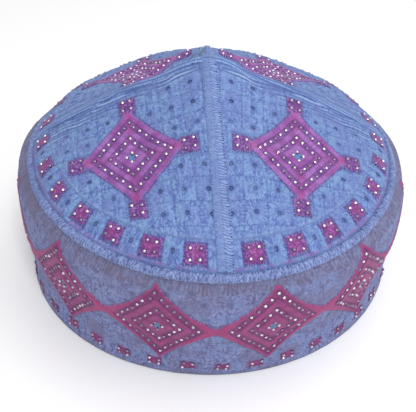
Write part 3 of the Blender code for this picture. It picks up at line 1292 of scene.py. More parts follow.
class Effect:
    """A shader node group with named inputs and outputs, built once."""

    name: str = ""
    inputs: tuple = ()
    outputs: tuple = ()

    @classmethod
    def tree(cls) -> bpy.types.NodeTree:
        """Return the group, building it the first time."""
        found = bpy.data.node_groups.get(cls.name)
        if found:
            return found
        made = bpy.data.node_groups.new(cls.name, "ShaderNodeTree")
        for name, kind, default in cls.inputs:
            socket = made.interface.new_socket(name, in_out="INPUT", socket_type=kind)
            if default is not None:
                socket.default_value = default
        for name in cls.outputs:
            made.interface.new_socket(name, in_out="OUTPUT", socket_type="NodeSocketFloat")
        entry = made.nodes.new("NodeGroupInput")
        leave = made.nodes.new("NodeGroupOutput")
        given = {socket.name: Wire(made, socket) for socket in entry.outputs if socket.name}
        for name, wire in cls.build(Tree(made), given).items():
            made.links.new(wire.socket, leave.inputs[name])
        return made

    @classmethod
    def build(cls, tree: Tree, given: dict[str, Wire]) -> dict[str, Wire]:
        """Build the group's nodes from its inputs and return its outputs."""
        raise NotImplementedError


class ThreadGrain(Effect):
    """Uneven cotton: a fine fuzz for the surface, and clouds and slow patches for its tone."""

    name = "thread_grain"
    inputs = (("Place", "NodeSocketVector", None),)
    outputs = ("Fuzz", "Patches", "Clouds")

    @classmethod
    def build(cls, tree: Tree, given: dict[str, Wire]) -> dict[str, Wire]:
        """Three noises: at thread size, at hand size and between them."""
        place = given["Place"]
        fine, slow, clouds = tree.noise(place, 900.0), tree.noise(place, 60.0, 3.0), tree.noise(place, 230.0)
        return {"Fuzz": fine, "Patches": slow, "Clouds": clouds}


class QuiltStitches(Effect):
    """The stitches of a quilted cell: dots round its edge, a hole, a ring and threads that fan out."""

    name = "quilt_stitches"
    inputs = (
        ("Cells", "NodeSocketVector", None),
        ("Pitch", "NodeSocketFloat", 9.6),
        ("Threads", "NodeSocketFloat", 5.0),
        ("Change", "NodeSocketFloat", 0.6),
    )
    outputs = ("Groove", "Dots", "Hole", "Ring", "Rays", "Streaks", "Chance")
    dot_turns = 5.2
    dot_drift = 9.0
    dot_length = (-0.2, 0.5)
    dot_reach = (0.45, 0.10)
    dot_gaps = (0.40, 0.52)
    cell_steps = (3.7, 9.1)
    streak_scales = (0.8, 0.16)
    groove_reach = (0.75, 0.0)
    hole_edge = (1.25, 0.75)
    hole_raggedness = 0.9
    hole_heart = (0.65, 0.15)
    hole_heart_tone = 0.6
    ring_reach = (1.1, 1.9, 0.25)
    ray_tones = (0.34, 0.66)
    streak_tones = (0.36, 0.64)

    @classmethod
    def build(cls, tree: Tree, given: dict[str, Wire]) -> dict[str, Wire]:
        """Take the fraction of each coordinate, then work with distance to the edge, radius and angle."""
        pitch = given["Pitch"]
        across, along, _ = tree.split(given["Cells"])
        local_x, local_y = across.math("FRACT") - 0.5, along.math("FRACT") - 0.5
        edge_x, edge_y = ((abs(local) * -1.0 + 0.5) * pitch for local in (local_x, local_y))
        radius = (local_x * local_x + local_y * local_y).math("SQRT") * pitch
        angle = local_y.math("ARCTAN2", local_x)
        patchy = tree.noise(given["Cells"], 4.0, 1.0)
        dots_x, dots_y = (
            (run * pitch * cls.dot_turns + patchy * cls.dot_drift).math("SINE").between(*cls.dot_length)
            * edge.between(*cls.dot_reach)
            for run, edge in ((along, edge_x), (across, edge_y))
        )
        column, row = across.math("FLOOR"), along.math("FLOOR")
        which = column * cls.cell_steps[0] + row * cls.cell_steps[1]
        threads = tree.noise(tree.join(angle * given["Threads"], radius * given["Change"], which), 1.0)
        streak_x, streak_y = across * pitch * cls.streak_scales[0], along * pitch * cls.streak_scales[1]
        streaks = tree.noise(tree.join(streak_x, streak_y, which), 1.0)
        whole = {"Vector": tree.join(column, row)}
        chance = tree.node("ShaderNodeTexWhiteNoise", "Value", whole, noise_dimensions="3D")
        ragged = radius + patchy * cls.hole_raggedness - cls.hole_raggedness / 2
        heart = radius.between(*cls.hole_heart) * cls.hole_heart_tone
        return {
            "Groove": edge_x.math("MINIMUM", edge_y).between(*cls.groove_reach),
            "Dots": dots_x.math("MAXIMUM", dots_y) * patchy.between(*cls.dot_gaps),
            "Hole": ragged.between(*cls.hole_edge) - heart,
            "Ring": radius.strip(*cls.ring_reach),
            "Rays": threads.between(*cls.ray_tones),
            "Streaks": streaks.between(*cls.streak_tones),
            "Chance": chance,
        }


class SatinRows(Effect):
    """Satin stitch: threads side by side across an edge, each with its own tone and a dark gap."""

    name = "satin_rows"
    inputs = (
        ("Thread", "NodeSocketFloat", 0.0),
        ("Place", "NodeSocketVector", None),
        ("Pitch", "NodeSocketFloat", 0.42),
    )
    outputs = ("Ridge", "Tone")
    slow_scale = 260.0
    ridge_tones = (0.32, 0.68)

    @classmethod
    def build(cls, tree: Tree, given: dict[str, Wire]) -> dict[str, Wire]:
        """A noise that is fine along the edge and long across it, over a slower one for the tone."""
        slow_x, slow_y, _ = tree.split(given["Place"])
        run = given["Thread"].math("DIVIDE", given["Pitch"])
        place = tree.join(run, slow_x * cls.slow_scale, slow_y * cls.slow_scale)
        ridge = tree.noise(place, 0.7, 1.5).between(*cls.ridge_tones)
        return {"Ridge": ridge, "Tone": tree.noise(given["Place"], 190.0)}


def start_material(name: str) -> tuple[bpy.types.Material, Tree, bpy.types.Node]:
    """Return a new node material, its tree and its Principled shader."""
    material = bpy.data.materials.new(name)
    material.use_nodes = True
    return material, Tree(material.node_tree), material.node_tree.nodes["Principled BSDF"]


@dataclass(frozen=True)
class EmbroideredCloth:
    """Quilted cotton with satin medallions, for the crown or the band."""

    name: str
    ground_light: Colour
    ground_dark: Colour
    hole: Colour
    satin: Colour
    satin_light: Colour
    channel: Colour
    rose: Colour
    centre: Colour
    whip_and_painted_shade_colour: Colour
    fleck: Colour
    pit: Colour
    cloud_light: Colour
    cloud_dark: Colour
    fan_threads: float = 6.0
    fan_change: float = 0.6
    weave_low: float = 0.16
    cloud_tone: float = 0.6
    fleck_tone: float = 0.32
    square_tone: float = 0.85
    channel_tone: float = 0.48
    groove_tone: float = 0.28
    dot_tone: float = 0.5
    hole_tone: float = 0.85
    whip_tone: float = 0.9
    outline_tone: float = 0.6
    roughness: float = 0.82
    shine: float = 0.25
    sheen: float = 0.08
    bump: float = 0.4
    raggedness: float = 0.75
    rose_tone: float = 0.65
    needle_tone: float = 0.75
    ring_tone: float = 0.3
    hole_chance: float = 0.4
    hole_base: float = 0.25
    light_whips: float = -1.2
    gap_tone: float = 0.45
    rim_tone: float = 0.7
    ray_share: float = 0.6
    cell_pitch: float = 9.6
    satin_pitch: float = 0.25
    needle_turns: float = 6.3
    satin_polish: float = 0.22
    sheen_roughness: float = 0.5
    relief_distance: float = 0.00025
    satin_relief: float = 0.9
    weave_relief: float = 1.1
    dot_relief: float = -1.2
    fuzz_relief: float = 0.6
    cloud_range: Range = (0.45, 0.65)
    fleck_range: Range = (0.54, 0.70)
    pit_range: Range = (0.46, 0.32)
    line_range: Range = (0.0, 0.4)
    satin_range: Range = (0.35, 0.65)
    pepper_range: Range = (0.42, 0.58)
    pepper_tones: tuple = (0.9, 0.55)
    square_fuzz: Range = (0.38, 0.56)
    square_frames: Range = (2.0, 2.1)
    centre_frames: Range = (0.125, 0.10)
    channel_frames: tuple = ((0.350, 0.520), (0.720, 0.895))
    channel_soft: float = 0.03
    rim_frames: tuple = ((0.330, 0.360), (0.510, 0.540), (0.700, 0.730), (0.885, 0.915))
    rim_soft: float = 0.015
    satin_edge: Range = (-0.12, 0.18)
    outline_reach: tuple = (-0.75, 0.10, 0.2)
    outline_fuzz: Range = (0.35, 0.6)
    needle_range: Range = (0.0, 0.6)
    needle_reach: tuple = (-0.45, 0.15, 0.15)

    def ground(self, tree: Tree, weave: Wire, grain: dict, quilt: dict, ridge: Wire) -> Wire:
        """Return the quilted ground's colour, coat by coat.

        Args:
            tree: The material's tree.
            weave: The drawn threads' tone.
            grain: The thread grain's outputs.
            quilt: The quilting stitches' outputs.
            ridge: The satin rows' ridges, for the couched thread.

        Returns:
            The colour.
        """
        eyelet, whip = tree.attribute("eyelet"), tree.attribute("whip")
        seen = quilt["Chance"] * self.hole_chance + (self.hole_tone - self.hole_base)
        return tree.coats(
            tree.mix(weave, self.ground_dark, self.ground_light),
            (grain["Clouds"].between(*self.cloud_range) * self.cloud_tone, self.cloud_light),
            (grain["Patches"].between(*self.cloud_range) * self.cloud_tone, self.cloud_dark),
            (grain["Fuzz"].between(*self.fleck_range) * self.fleck_tone, self.fleck),
            (grain["Fuzz"].between(*self.pit_range) * self.fleck_tone, self.pit),
            (quilt["Groove"] * self.groove_tone, self.ground_dark),
            (quilt["Dots"] * self.dot_tone, self.hole),
            (quilt["Ring"] * eyelet * self.ring_tone, self.ground_dark),
            (quilt["Hole"] * eyelet * seen, self.hole),
            # The whip value also carries the band's painted shade under the roll and at the hem, painted in
            # this colour.
            (whip * self.whip_tone, self.whip_and_painted_shade_colour),
            (whip * self.light_whips, self.fleck),
            (tree.attribute("line") * ridge.between(*self.line_range), self.satin),
        )

    def embroidery(self, tree: Tree, rows: dict, fuzz: Wire) -> Wire:
        """Return the satin's colour, with its peppered channels, dark rims, rose thread and centre."""
        frame = tree.attribute("frame")
        pepper = fuzz.between(*self.pepper_range) * self.pepper_tones[0] + self.pepper_tones[1]
        channels = frame.strips(self.channel_frames, self.channel_soft) * pepper
        squares = frame.between(*self.square_frames) * fuzz.between(*self.square_fuzz)
        return tree.coats(
            tree.mix(rows["Tone"].between(*self.satin_range), self.satin, self.satin_light),
            (rows["Ridge"].inverse() * self.gap_tone, self.channel),
            (channels * self.channel_tone, self.channel),
            (frame.strips(self.rim_frames, self.rim_soft) * self.rim_tone, self.channel),
            (squares * self.square_tone, self.channel),
            (tree.attribute("rose") * self.rose_tone, self.rose),
            (frame.between(*self.centre_frames), self.centre),
        )

    def material(self) -> bpy.types.Material:
        """Build the cloth's material from the piece's attributes and its quilting map."""
        material, tree, shader = start_material(self.name)
        place = tree.object_place()
        satin, thread = tree.attribute("satin"), tree.attribute("thread")
        fan = {"Threads": self.fan_threads, "Change": self.fan_change}
        cells = tree.node("ShaderNodeUVMap", 0, uv_map="cells")
        grain = tree.group(ThreadGrain, {"Place": place})
        quilt = tree.group(QuiltStitches, {"Cells": cells, "Pitch": self.cell_pitch, **fan})
        rows = tree.group(SatinRows, {"Thread": thread, "Place": place, "Pitch": self.satin_pitch})
        fuzz, ridge = grain["Fuzz"], rows["Ridge"]
        weave = quilt["Rays"] * self.ray_share + quilt["Streaks"] * (1 - self.ray_share)
        weave = weave.between(self.weave_low, 1 - self.weave_low)

        ragged = satin + ridge * self.raggedness - self.raggedness * 0.5
        inside = ragged.between(*self.satin_edge)
        outline = satin.strip(*self.outline_reach) * fuzz.between(*self.outline_fuzz) * self.outline_tone
        needle = (thread * self.needle_turns).math("SINE").between(*self.needle_range)
        needle = needle * satin.strip(*self.needle_reach) * self.needle_tone
        ground = self.ground(tree, weave, grain, quilt, ridge)
        cloth = tree.mix(inside, ground, self.embroidery(tree, rows, fuzz))
        stitches = (weave * self.weave_relief + quilt["Dots"] * self.dot_relief) * inside.inverse()
        relief = ridge * inside * self.satin_relief + stitches + fuzz * self.fuzz_relief
        fill(shader, {
            "Base Color": tree.coats(cloth, (outline, self.channel), (needle, self.channel)),
            "Roughness": inside * -self.satin_polish + self.roughness,
            "Specular IOR Level": self.shine,
            "Sheen Weight": self.sheen,
            "Sheen Roughness": self.sheen_roughness,
            "Normal": tree.bump(relief, self.bump, self.relief_distance),
        })
        return material


@dataclass(frozen=True)
class StitchedThread:
    """Closely laid cover stitches, for the roll and the strips over the seams."""

    name: str
    light: Colour
    dark: Colour
    hole: Colour
    roughness: float = 0.62
    shine: float = 0.35
    sheen: float = 0.08
    bump: float = 0.4
    pitch: float = 0.5
    patch_range: Range = (0.45, 0.8)
    patch_tone: float = 0.5
    ridge_tone: float = 0.4
    fuzz_range: Range = (0.45, 0.65)
    fuzz_tone: float = 0.45
    gap_range: Range = (0.15, 0.85)
    needle_range: Range = (0.3, 0.8)
    relief: float = 0.8
    relief_distance: float = 0.0002

    def material(self) -> bpy.types.Material:
        """Build the thread's material, dark in the gaps between stitches and at the needle holes."""
        material, tree, shader = start_material(self.name)
        place = tree.object_place()
        grain = tree.group(ThreadGrain, {"Place": place})
        rows = tree.group(SatinRows, {"Thread": tree.attribute("thread"), "Place": place, "Pitch": self.pitch})
        relief = rows["Ridge"] * self.relief + grain["Fuzz"] * self.relief
        colour = tree.coats(
            self.light,
            (grain["Patches"].between(*self.patch_range) * self.patch_tone, self.dark),
            (rows["Ridge"].inverse() * self.ridge_tone, self.dark),
            (grain["Fuzz"].between(*self.fuzz_range) * self.fuzz_tone, self.dark),
            (tree.attribute("gap").between(*self.gap_range), self.dark),
            (tree.attribute("needle").between(*self.needle_range), self.hole),
        )
        fill(shader, {
            "Base Color": colour,
            "Roughness": self.roughness,
            "Specular IOR Level": self.shine,
            "Sheen Weight": self.sheen,
            "Normal": tree.bump(relief, self.bump, self.relief_distance),
        })
        return material


@dataclass(frozen=True)
class StudMetal:
    """Bright pressed metal with a slightly uneven polish, and on some studs a painted dim reflection."""

    name: str = "stud_metal"
    colour: Colour = srgb(236, 232, 240)
    # Painted dim reflection: the darker colour of a stud that catches no light.
    painted_dim: Colour = srgb(146, 138, 164)
    roughness: float = 0.16
    painted_dim_reflection_roughness: float = 0.22
    grain_scale: float = 900.0
    grain_share: float = 0.5
    grain_drop: float = 0.3
    painted_dim_range: Range = (0.2, 0.75)

    def material(self) -> bpy.types.Material:
        """Build the metal's material: a stud's colour is painted darker and its roughness rises with its share
        of painted dim reflection, which stands for a stud that catches no light.
        """
        material, tree, shader = start_material(self.name)
        painted_dim_reflection = tree.attribute("painted_dim_reflection")
        painted_dim = tree.noise(tree.object_place(), self.grain_scale) * self.grain_share + painted_dim_reflection - self.grain_drop
        fill(shader, {
            "Base Color": tree.mix(painted_dim.between(*self.painted_dim_range), self.colour, self.painted_dim),
            "Metallic": 1.0,
            "Roughness": painted_dim_reflection * self.painted_dim_reflection_roughness + self.roughness,
        })
        return material


@dataclass(frozen=True)
class SettingThread:
    """The dark thread that holds a stud down."""

    name: str = "stud_setting"
    colour: Colour = srgb(70, 34, 78)
    light: Colour = srgb(104, 52, 108)
    grain_scale: float = 2200.0
    light_range: Range = (0.4, 0.65)
    roughness: float = 0.8

    def material(self) -> bpy.types.Material:
        """Build the setting's material."""
        material, tree, shader = start_material(self.name)
        fuzz = tree.noise(tree.object_place(), self.grain_scale).between(*self.light_range)
        fill(shader, {"Base Color": tree.mix(fuzz, self.colour, self.light), "Roughness": self.roughness})
        return material


@dataclass(frozen=True)
class FloorPaint:
    """A plain pale floor."""

    name: str = "pale_floor"
    colour: Colour = srgb(250, 250, 250)
    roughness: float = 0.9

    def material(self) -> bpy.types.Material:
        """Build the floor's material."""
        material, _, shader = start_material(self.name)
        fill(shader, {"Base Color": self.colour, "Roughness": self.roughness})
        return material


@dataclass
class Finishes:
    """Every finish of the cap, made once."""

    CLOTH_COLOURS: ClassVar[dict] = {
        # Each pair is the crown's colour, then the band's. The band's greyer, warmer ground colours are painted
        # light: they stand for the dimmer, warmer light that falls on the upright band.
        "ground_light": ((120, 146, 194), (132, 140, 184)),
        "ground_dark": ((83, 103, 165), (89, 92, 138)),
        "hole": ((45, 60, 111), (75, 76, 118)),
        "satin": ((141, 76, 150), (143, 56, 114)),
        "satin_light": ((160, 108, 180), (156, 70, 127)),
        "channel": ((78, 46, 112), (80, 39, 87)),
        "rose": ((167, 55, 109), (163, 54, 109)),
        "centre": ((98, 130, 182), (104, 130, 168)),
        "whip_and_painted_shade_colour": ((68, 86, 145), (100, 90, 108)),
        "fleck": ((148, 172, 207), (143, 152, 190)),
        "pit": ((71, 92, 150), (84, 84, 125)),
        "cloud_light": ((115, 148, 189), (116, 134, 182)),
        "cloud_dark": ((105, 117, 176), (112, 109, 146)),
    }

    crown: bpy.types.Material
    band: bpy.types.Material
    seams: bpy.types.Material
    strands: bpy.types.Material
    roll: bpy.types.Material
    studs: list

    @classmethod
    def make(cls) -> "Finishes":
        """Build the finishes with this cap's colours."""
        crown_colours, band_colours = (
            {part: srgb(*pair[number]) for part, pair in cls.CLOTH_COLOURS.items()} for number in (0, 1)
        )
        crown = EmbroideredCloth(name="crown_cloth_finish", **crown_colours)
        band = EmbroideredCloth(
            name="band_cloth_finish",
            **band_colours,
            fan_threads=3.5,
            fan_change=0.25,
            weave_low=0.1,
            cloud_tone=0.8,
            fleck_tone=0.45,
            groove_tone=0.10,
            dot_tone=0.0,
            hole_tone=0.5,
            whip_tone=0.8,
            outline_tone=0.12,
            square_tone=0.5,
            channel_tone=0.35,
            rose_tone=0.5,
            needle_tone=0.25,
            sheen=0.02,
        )
        seams, strands, roll = (
            StitchedThread(f"{name}_thread_finish", *(srgb(*colour) for colour in colours)).material()
            for name, *colours in (
                ("seam", (140, 164, 208), (76, 96, 156), (40, 52, 102)),
                ("strand", (136, 166, 214), (74, 96, 156), (52, 68, 122)),
                ("edging", (136, 156, 206), (74, 84, 134), (38, 46, 94)),
            )
        )
        studs = [StudMetal().material(), SettingThread().material()]
        return cls(crown.material(), band.material(), seams, strands, roll, studs)


@dataclass
class Gore:
    """One quarter of the crown: a closed shell, finely worked outside and plain inside."""

    shape: CapShape
    pattern: CrownPattern
    finishes: Finishes
    side: Side
    end: End
    rows: int = 165
    columns: int = 190
    coarse: int = 5
    hand: float = 0.22
    seed: int = 5

    @property
    def place(self) -> str:
        """Return the gore's place as words for names."""
        return f"{self.end.name.lower()}_{self.side.name.lower()}"

    def disc_grid(self) -> tuple[Array, Array]:
        """Return disc places that fan out from the inner corner, without their signs.

        Each column runs straight from the corner, clear of both seam strips, to the rim's circle.

        Returns:
            Shares across and along, row by row outwards from the corner.
        """
        shape = self.shape
        start_across = (shape.seam_width / 2 + shape.gap) / shape.rim_half_width
        start_along = (shape.seam_width / 2 + shape.gap) / shape.rim_half_depth
        first = math.asin(start_across / shape.edge)
        last = math.pi / 2 - math.asin(start_along / shape.edge)
        angles = np.linspace(first, last, self.columns + 1)
        outs = np.linspace(0, 1, self.rows + 1)[:, None]
        across = start_across + outs * (shape.edge * np.sin(angles) - start_across)
        along = start_along + outs * (shape.edge * np.cos(angles) - start_along)
        return across, along

    def worked_points(self, across: Array, along: Array) -> tuple[Array, Array, Needlework]:
        """Place points on the worked outside: the plain form plus the needlework along its normal."""
        signed = (across * self.side.value, along * self.end.value)
        work = self.pattern.work(across * self.pattern.disc, along * self.pattern.disc)
        normals = self.shape.crown_normal(*signed)
        return self.shape.crown_point(*signed) + normals * work.height[..., None] * MM, normals, work

    def build(self) -> bpy.types.Object:
        """Build the gore's shell; its studs are a piece of their own, made by build_studs.

        Returns:
            The gore.
        """
        across, along = self.disc_grid()
        outside, _, work = self.worked_points(across, along)
        rough = (slice(self.coarse, None, self.coarse), slice(None, None, self.coarse))
        pole = (slice(0, 1), slice(0, 1))
        picks = (pole, (slice(1, None), slice(None)))
        signed = (across * self.side.value, along * self.end.value)
        inside = self.shape.under_crown(*signed)
        points = [outside[pick].reshape(-1, 3) for pick in picks]
        points += [inside[pick].reshape(-1, 3) for pick in (pole, rough)]
        count = self.columns + 1
        below = 1 + self.rows * count
        few = self.columns // self.coarse + 1
        rings = self.rows // self.coarse
        faces: list = []
        for start, columns, rows in ((0, count, self.rows), (below, few, rings)):
            first = start + 1 + np.arange(columns)
            fan = np.stack([np.full(columns - 1, start), first[:-1], first[1:]], axis=-1)
            faces += fan.tolist() + (grid_quads(rows, columns) + start + 1).tolist()
        near = np.concatenate([[0], 1 + np.arange(self.rows) * count])
        far = np.concatenate([[0], (1 + np.arange(self.rows)) * count])
        rim = 1 + (self.rows - 1) * count + np.arange(count)
        near_under = below + np.concatenate([[0], 1 + np.arange(rings) * few])
        far_under = below + np.concatenate([[0], (1 + np.arange(rings)) * few])
        rim_under = below + 1 + (rings - 1) * few + np.arange(few)
        for top, under in ((near, near_under), (far, far_under), (rim, rim_under)):
            steps = np.arange(len(under) - 1)[:, None]
            upper = top[steps * self.coarse + np.arange(self.coarse + 1)]
            lower = np.stack([under[1:], under[:-1]], axis=-1)
            faces += np.concatenate([upper, lower], axis=-1).tolist()
        name = f"gore_{self.place}"
        gore = make_piece(name, np.concatenate(points), faces, [self.finishes.crown])
        for key, values in work.attributes().items():
            inner = np.full(1 + rings * few, PLAIN_CLOTH.get(key, 0.0))
            store(gore, key, np.concatenate([values[pole].ravel(), values[1:].ravel(), inner]))
        cells = [work.cells[pick].reshape(-1, 2) for pick in (*picks, pole, rough)]
        store_uv(gore, "cells", np.concatenate(cells))
        return gore

    def build_studs(self) -> bpy.types.Object:
        """Build the gore's studs as one mesh that sits on the worked cloth."""
        places = self.pattern.stud_places()
        chance = np.random.default_rng(self.seed)
        places = places + chance.normal(0, self.hand / self.pattern.disc, places.shape)
        centres, normals, _ = self.worked_points(places[:, 0], places[:, 1])
        return Stud().build(f"studs_{self.place}", centres, normals, self.finishes.studs)

    def dress(self) -> bpy.types.Object:
        """Build the gore and its studs and tell the frame what they are."""
        gore = self.build()
        studs = self.build_studs()
        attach(gore, BODY)
        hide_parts(f"crown_gore_{self.place}")
        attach(studs, BODY)
        return gore


@dataclass
class SeamStrip:
    """The strip of cover stitches over one crown seam."""

    shape: CapShape
    finishes: Finishes
    seam: Seam
    rows: int = 560
    columns: int = 22
    top_width: float = 0.0070
    stand: float = 0.0007
    edge_stand: float = 0.00025
    stitch_pitch: float = 1.25
    stitch_height: float = 0.30
    drift: Bumps = Bumps(0.45, 1.8, seed=21)
    drift_stretch: float = 3.0
    slants: tuple = (1.3, 0.4, 0.4)
    whip_start: Range = (-0.15, 0.05)
    divide: float = -0.07
    divide_depth: float = 0.9
    divide_width: float = 0.09
    ridge_parts: tuple = (0.7, 0.9, 0.3, 3)
    strand_parts: tuple = (0.55, 0.45)
    ridge_middle: float = 0.6
    plain_height: float = 0.15
    edge_fade: Range = (1.0, 0.9)
    needle_chance: Bumps = Bumps(1.0, 1.1, seed=22)
    needle_least: float = -0.4
    rows_apart: float = 7.0
    dot_shift: float = 0.4
    dot_width: float = 0.6
    edge_needles: tuple = (0.25, 0.82, 0.14)
    divide_needles: tuple = (0.8, 0.08)
    plain_gap: tuple = (0.40, 0.25)
    whipped_gap: float = 1.2
    strands: LaidStrands = LaidStrands(seed=23)

    @property
    def on_side(self) -> bool:
        """Return whether this is one of the two side seams, which loose strands cover."""
        return self.seam in (Seam.LEFT, Seam.RIGHT)

    def cover(self, run: Array, width: Array) -> tuple[Array, Array, Array]:
        """Work out the cover stitches at each place of the strip.

        Slanting whip stitches are a sum of two cosines' sizes on one half, plain satin lies on the
        other and a groove divides them; a side seam has loose strands all over instead.

        Args:
            run: Millimetres along the seam.
            width: Place across the strip, -1 to 1.

        Returns:
            The stitches' ridges, how whipped the place is, and the dividing groove.
        """
        if self.on_side:
            ridge, rise = self.strand_parts
            loose = self.strands.ridges(run, width * self.top_width / 2 / MM)
            return ridge + rise * loose, 1.0 + 0 * width, 0 * width
        drift = self.drift.at(run + 0 * width, self.drift_stretch * width + 0 * run)
        bend, middle, slant = self.slants
        phase = run / self.stitch_pitch + bend * (width - middle) ** 2 - slant * width + drift
        share, roundness, fine_share, finer = self.ridge_parts
        ridge = share * np.abs(np.cos(math.pi * phase)) ** roundness
        ridge = ridge + fine_share * np.abs(np.cos(finer * math.pi * phase))
        groove = self.divide_depth * bell(width, self.divide, self.divide_width)
        return ridge, ease(*self.whip_start, width), groove

    def needle_holes(self, run: Array, width: Array) -> Array:
        """Return how dark the needle holes are along both edges and along the dividing groove."""
        chance = self.needle_chance.at(run + 0 * width, 0 * run + np.sign(width) * self.rows_apart)
        phase = run / self.stitch_pitch + self.dot_shift * chance
        dot = bell(np.abs(np.sin(math.pi * phase)), 0.0, self.dot_width) * (chance > self.needle_least)
        more, place, reach = self.edge_needles
        edges = (1.0 + more * np.sign(width)) * bell(np.abs(width), place, reach) * dot
        tone, reach = self.divide_needles
        return edges + tone * bell(width, self.divide, reach) * dot

    def build(self) -> bpy.types.Object:
        """Build the strip as a closed section carried along the seam.

        The top is a low arch that carries the stitches; the underside follows the crown's inside.

        Returns:
            The strip.
        """
        shape = self.shape
        direction = np.array(self.seam.value)
        start = shape.gap / shape.rim_half_depth
        if self.on_side:
            start = (shape.seam_width / 2 + shape.gap) / shape.rim_half_width
        outs = np.linspace(start, shape.edge, self.rows)[:, None]
        middle = shape.crown_point(outs * direction[0], outs * direction[1])
        under = shape.under_crown(outs * direction[0], outs * direction[1])
        lengths = np.linalg.norm(np.diff(middle[:, 0], axis=0), axis=1)
        run = np.concatenate([[0], np.cumsum(lengths)])[:, None] / MM
        sideways = np.array([-direction[1], direction[0], 0.0])
        width = np.linspace(-1, 1, self.columns)[None, :]
        arch = self.edge_stand + (self.stand - self.edge_stand) * (1 - width**2)
        ridge, whipped, groove = self.cover(run, width)
        tall = (ridge - self.ridge_middle) * (self.plain_height + (1 - self.plain_height) * whipped) - groove
        lift = arch + tall * self.stitch_height * MM * ease(*self.edge_fade, np.abs(width))
        to_side = width * self.top_width / 2
        top = shape.crown_point(
            outs * direction[0] + to_side * sideways[0] / shape.rim_half_width,
            outs * direction[1] + to_side * sideways[1] / shape.rim_half_depth,
        )
        top[..., 2] += lift
        bottom = under + sideways * np.array([1.0, -1.0])[None, :, None] * shape.seam_width / 2
        points = np.concatenate([top, bottom], axis=1)
        count = points.shape[1]
        faces = grid_quads(self.rows, count, wrap_columns=True).tolist()
        faces += [list(range(count)), list(range((self.rows - 1) * count, self.rows * count))]
        finish = self.finishes.strands if self.on_side else self.finishes.seams
        strip = make_piece(f"seam_strip_{self.seam.name.lower()}", points, faces, [finish])
        gap, rise = self.plain_gap
        plain = (gap + rise * (1 - ridge)) * (1 - whipped)
        marks = {
            "thread": run + 0 * width,
            "gap": self.whipped_gap * (1 - ridge) * whipped + plain,
            "needle": self.needle_holes(run, width),
        }
        for key, values in marks.items():
            store(strip, key, np.concatenate([values, np.zeros((self.rows, 2))], axis=1))
        return strip

    def dress(self) -> bpy.types.Object:
        """Build the strip and tell the frame what it is."""
        strip = self.build()
        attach(strip, BODY)
        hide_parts(f"seam_{self.seam.name.lower()}")
        return strip


@dataclass
class RimRoll:
    """The whip-stitched roll over the join of crown and band."""

    shape: CapShape
    finishes: Finishes
    around: int = 3600
    sides: int = 16
    radius: float = 0.0019
    stitch_pitch: float = 1.4
    stitch_height: float = 0.26
    tuck_down: float = 0.0014
    tuck_in: float = 0.0002
    slimmer: float = 0.0005
    pressed_in: float = 0.0004
    tuck_reach: Range = (0.15, 0.5)
    slim_reach: Range = (0.6, -0.2)
    drift: Bumps = Bumps(0.75, 1.3, seed=31)
    slant: float = 0.3
    roundness: float = 0.9
    ridge_middle: float = 0.6
    fibres: float = 0.3
    rough: Bumps = Bumps(0.8, 1.0, seed=33)
    gap_parts: tuple = (0.9, 0.4, 0.35)
    needle_chance: Bumps = Bumps(1.0, 1.4, seed=32)
    hole_width: float = 0.32
    upper_needles: tuple = (1.6, 1.95, 0.4, -0.6)
    lower_needles: tuple = (0.8, 6.1, 0.3, 0.0)

    def build(self) -> bpy.types.Object:
        """Build the roll: a circle carried round the rim, with a slanting ridge for each stitch.

        Towards the back the roll lies tucked in under the crown's shoulder.

        Returns:
            The roll.
        """
        shape = self.shape
        turn = np.linspace(-math.pi, math.pi, self.around, endpoint=False)
        outward = shape.rim_outward(turn)
        reach = shape.roll_radius + shape.gap - shape.crown_edge_setback
        centre = shape.band_point(turn, 1.0) + outward * reach
        tuck = ease(*self.tuck_reach, -np.cos(turn))
        slim = self.slimmer * ease(*self.slim_reach, np.cos(turn))
        centre -= outward * (tuck * self.tuck_in + slim + self.pressed_in)[:, None]
        centre[:, 2] -= shape.roll_sink + tuck * self.tuck_down
        along = unit(np.roll(centre, -1, axis=0) - np.roll(centre, 1, axis=0))
        upwards = np.cross(outward, along)
        angle = np.arange(self.sides) * 2 * math.pi / self.sides
        run = np.concatenate([[0], np.cumsum(np.linalg.norm(np.diff(centre, axis=0), axis=1))]) / MM
        total = run[-1] + np.linalg.norm(centre[0] - centre[-1]) / MM
        stitches = round(total / self.stitch_pitch)
        place = (run[:, None] + 0 * angle, 2 * angle + 0 * run[:, None])
        drift = self.drift.at(*place)
        phase = run[:, None] * stitches / total + self.slant * np.sin(angle) + drift
        ridge = np.abs(np.cos(math.pi * phase)) ** self.roundness
        fibres = self.fibres * np.cos(4 * math.pi * phase)
        rough = self.rough.at(*place)
        swell = (ridge - self.ridge_middle + fibres + rough) * self.stitch_height * MM
        size = self.radius - slim[:, None] + swell
        spokes = np.cos(angle)[:, None] * outward[:, None] + np.sin(angle)[:, None] * upwards[:, None]
        points = centre[:, None] + spokes * size[..., None]
        faces = grid_quads(self.around, self.sides, wrap_rows=True, wrap_columns=True).tolist()
        roll = make_piece("whipped_roll", points, faces, [self.finishes.roll])
        chance = self.needle_chance.at(run, 0 * run)[:, None]
        hole = bell(ridge, 0.0, self.hole_width)
        needle = 0 * ridge
        for tone, at_angle, width, least in (self.upper_needles, self.lower_needles):
            needle = needle + tone * bell(angle, at_angle, width)[None, :] * hole * (chance > least)
        by_ridge, by_fibres, by_rough = self.gap_parts
        store(roll, "thread", run[:, None] + 0 * ridge)
        store(roll, "gap", by_ridge * (1 - ridge) - by_fibres * fibres - by_rough * rough)
        store(roll, "needle", needle)
        return roll

    def dress(self) -> bpy.types.Object:
        """Build the roll and tell the frame what it is."""
        roll = self.build()
        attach(roll, BODY)
        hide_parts("rim_edging")
        return roll


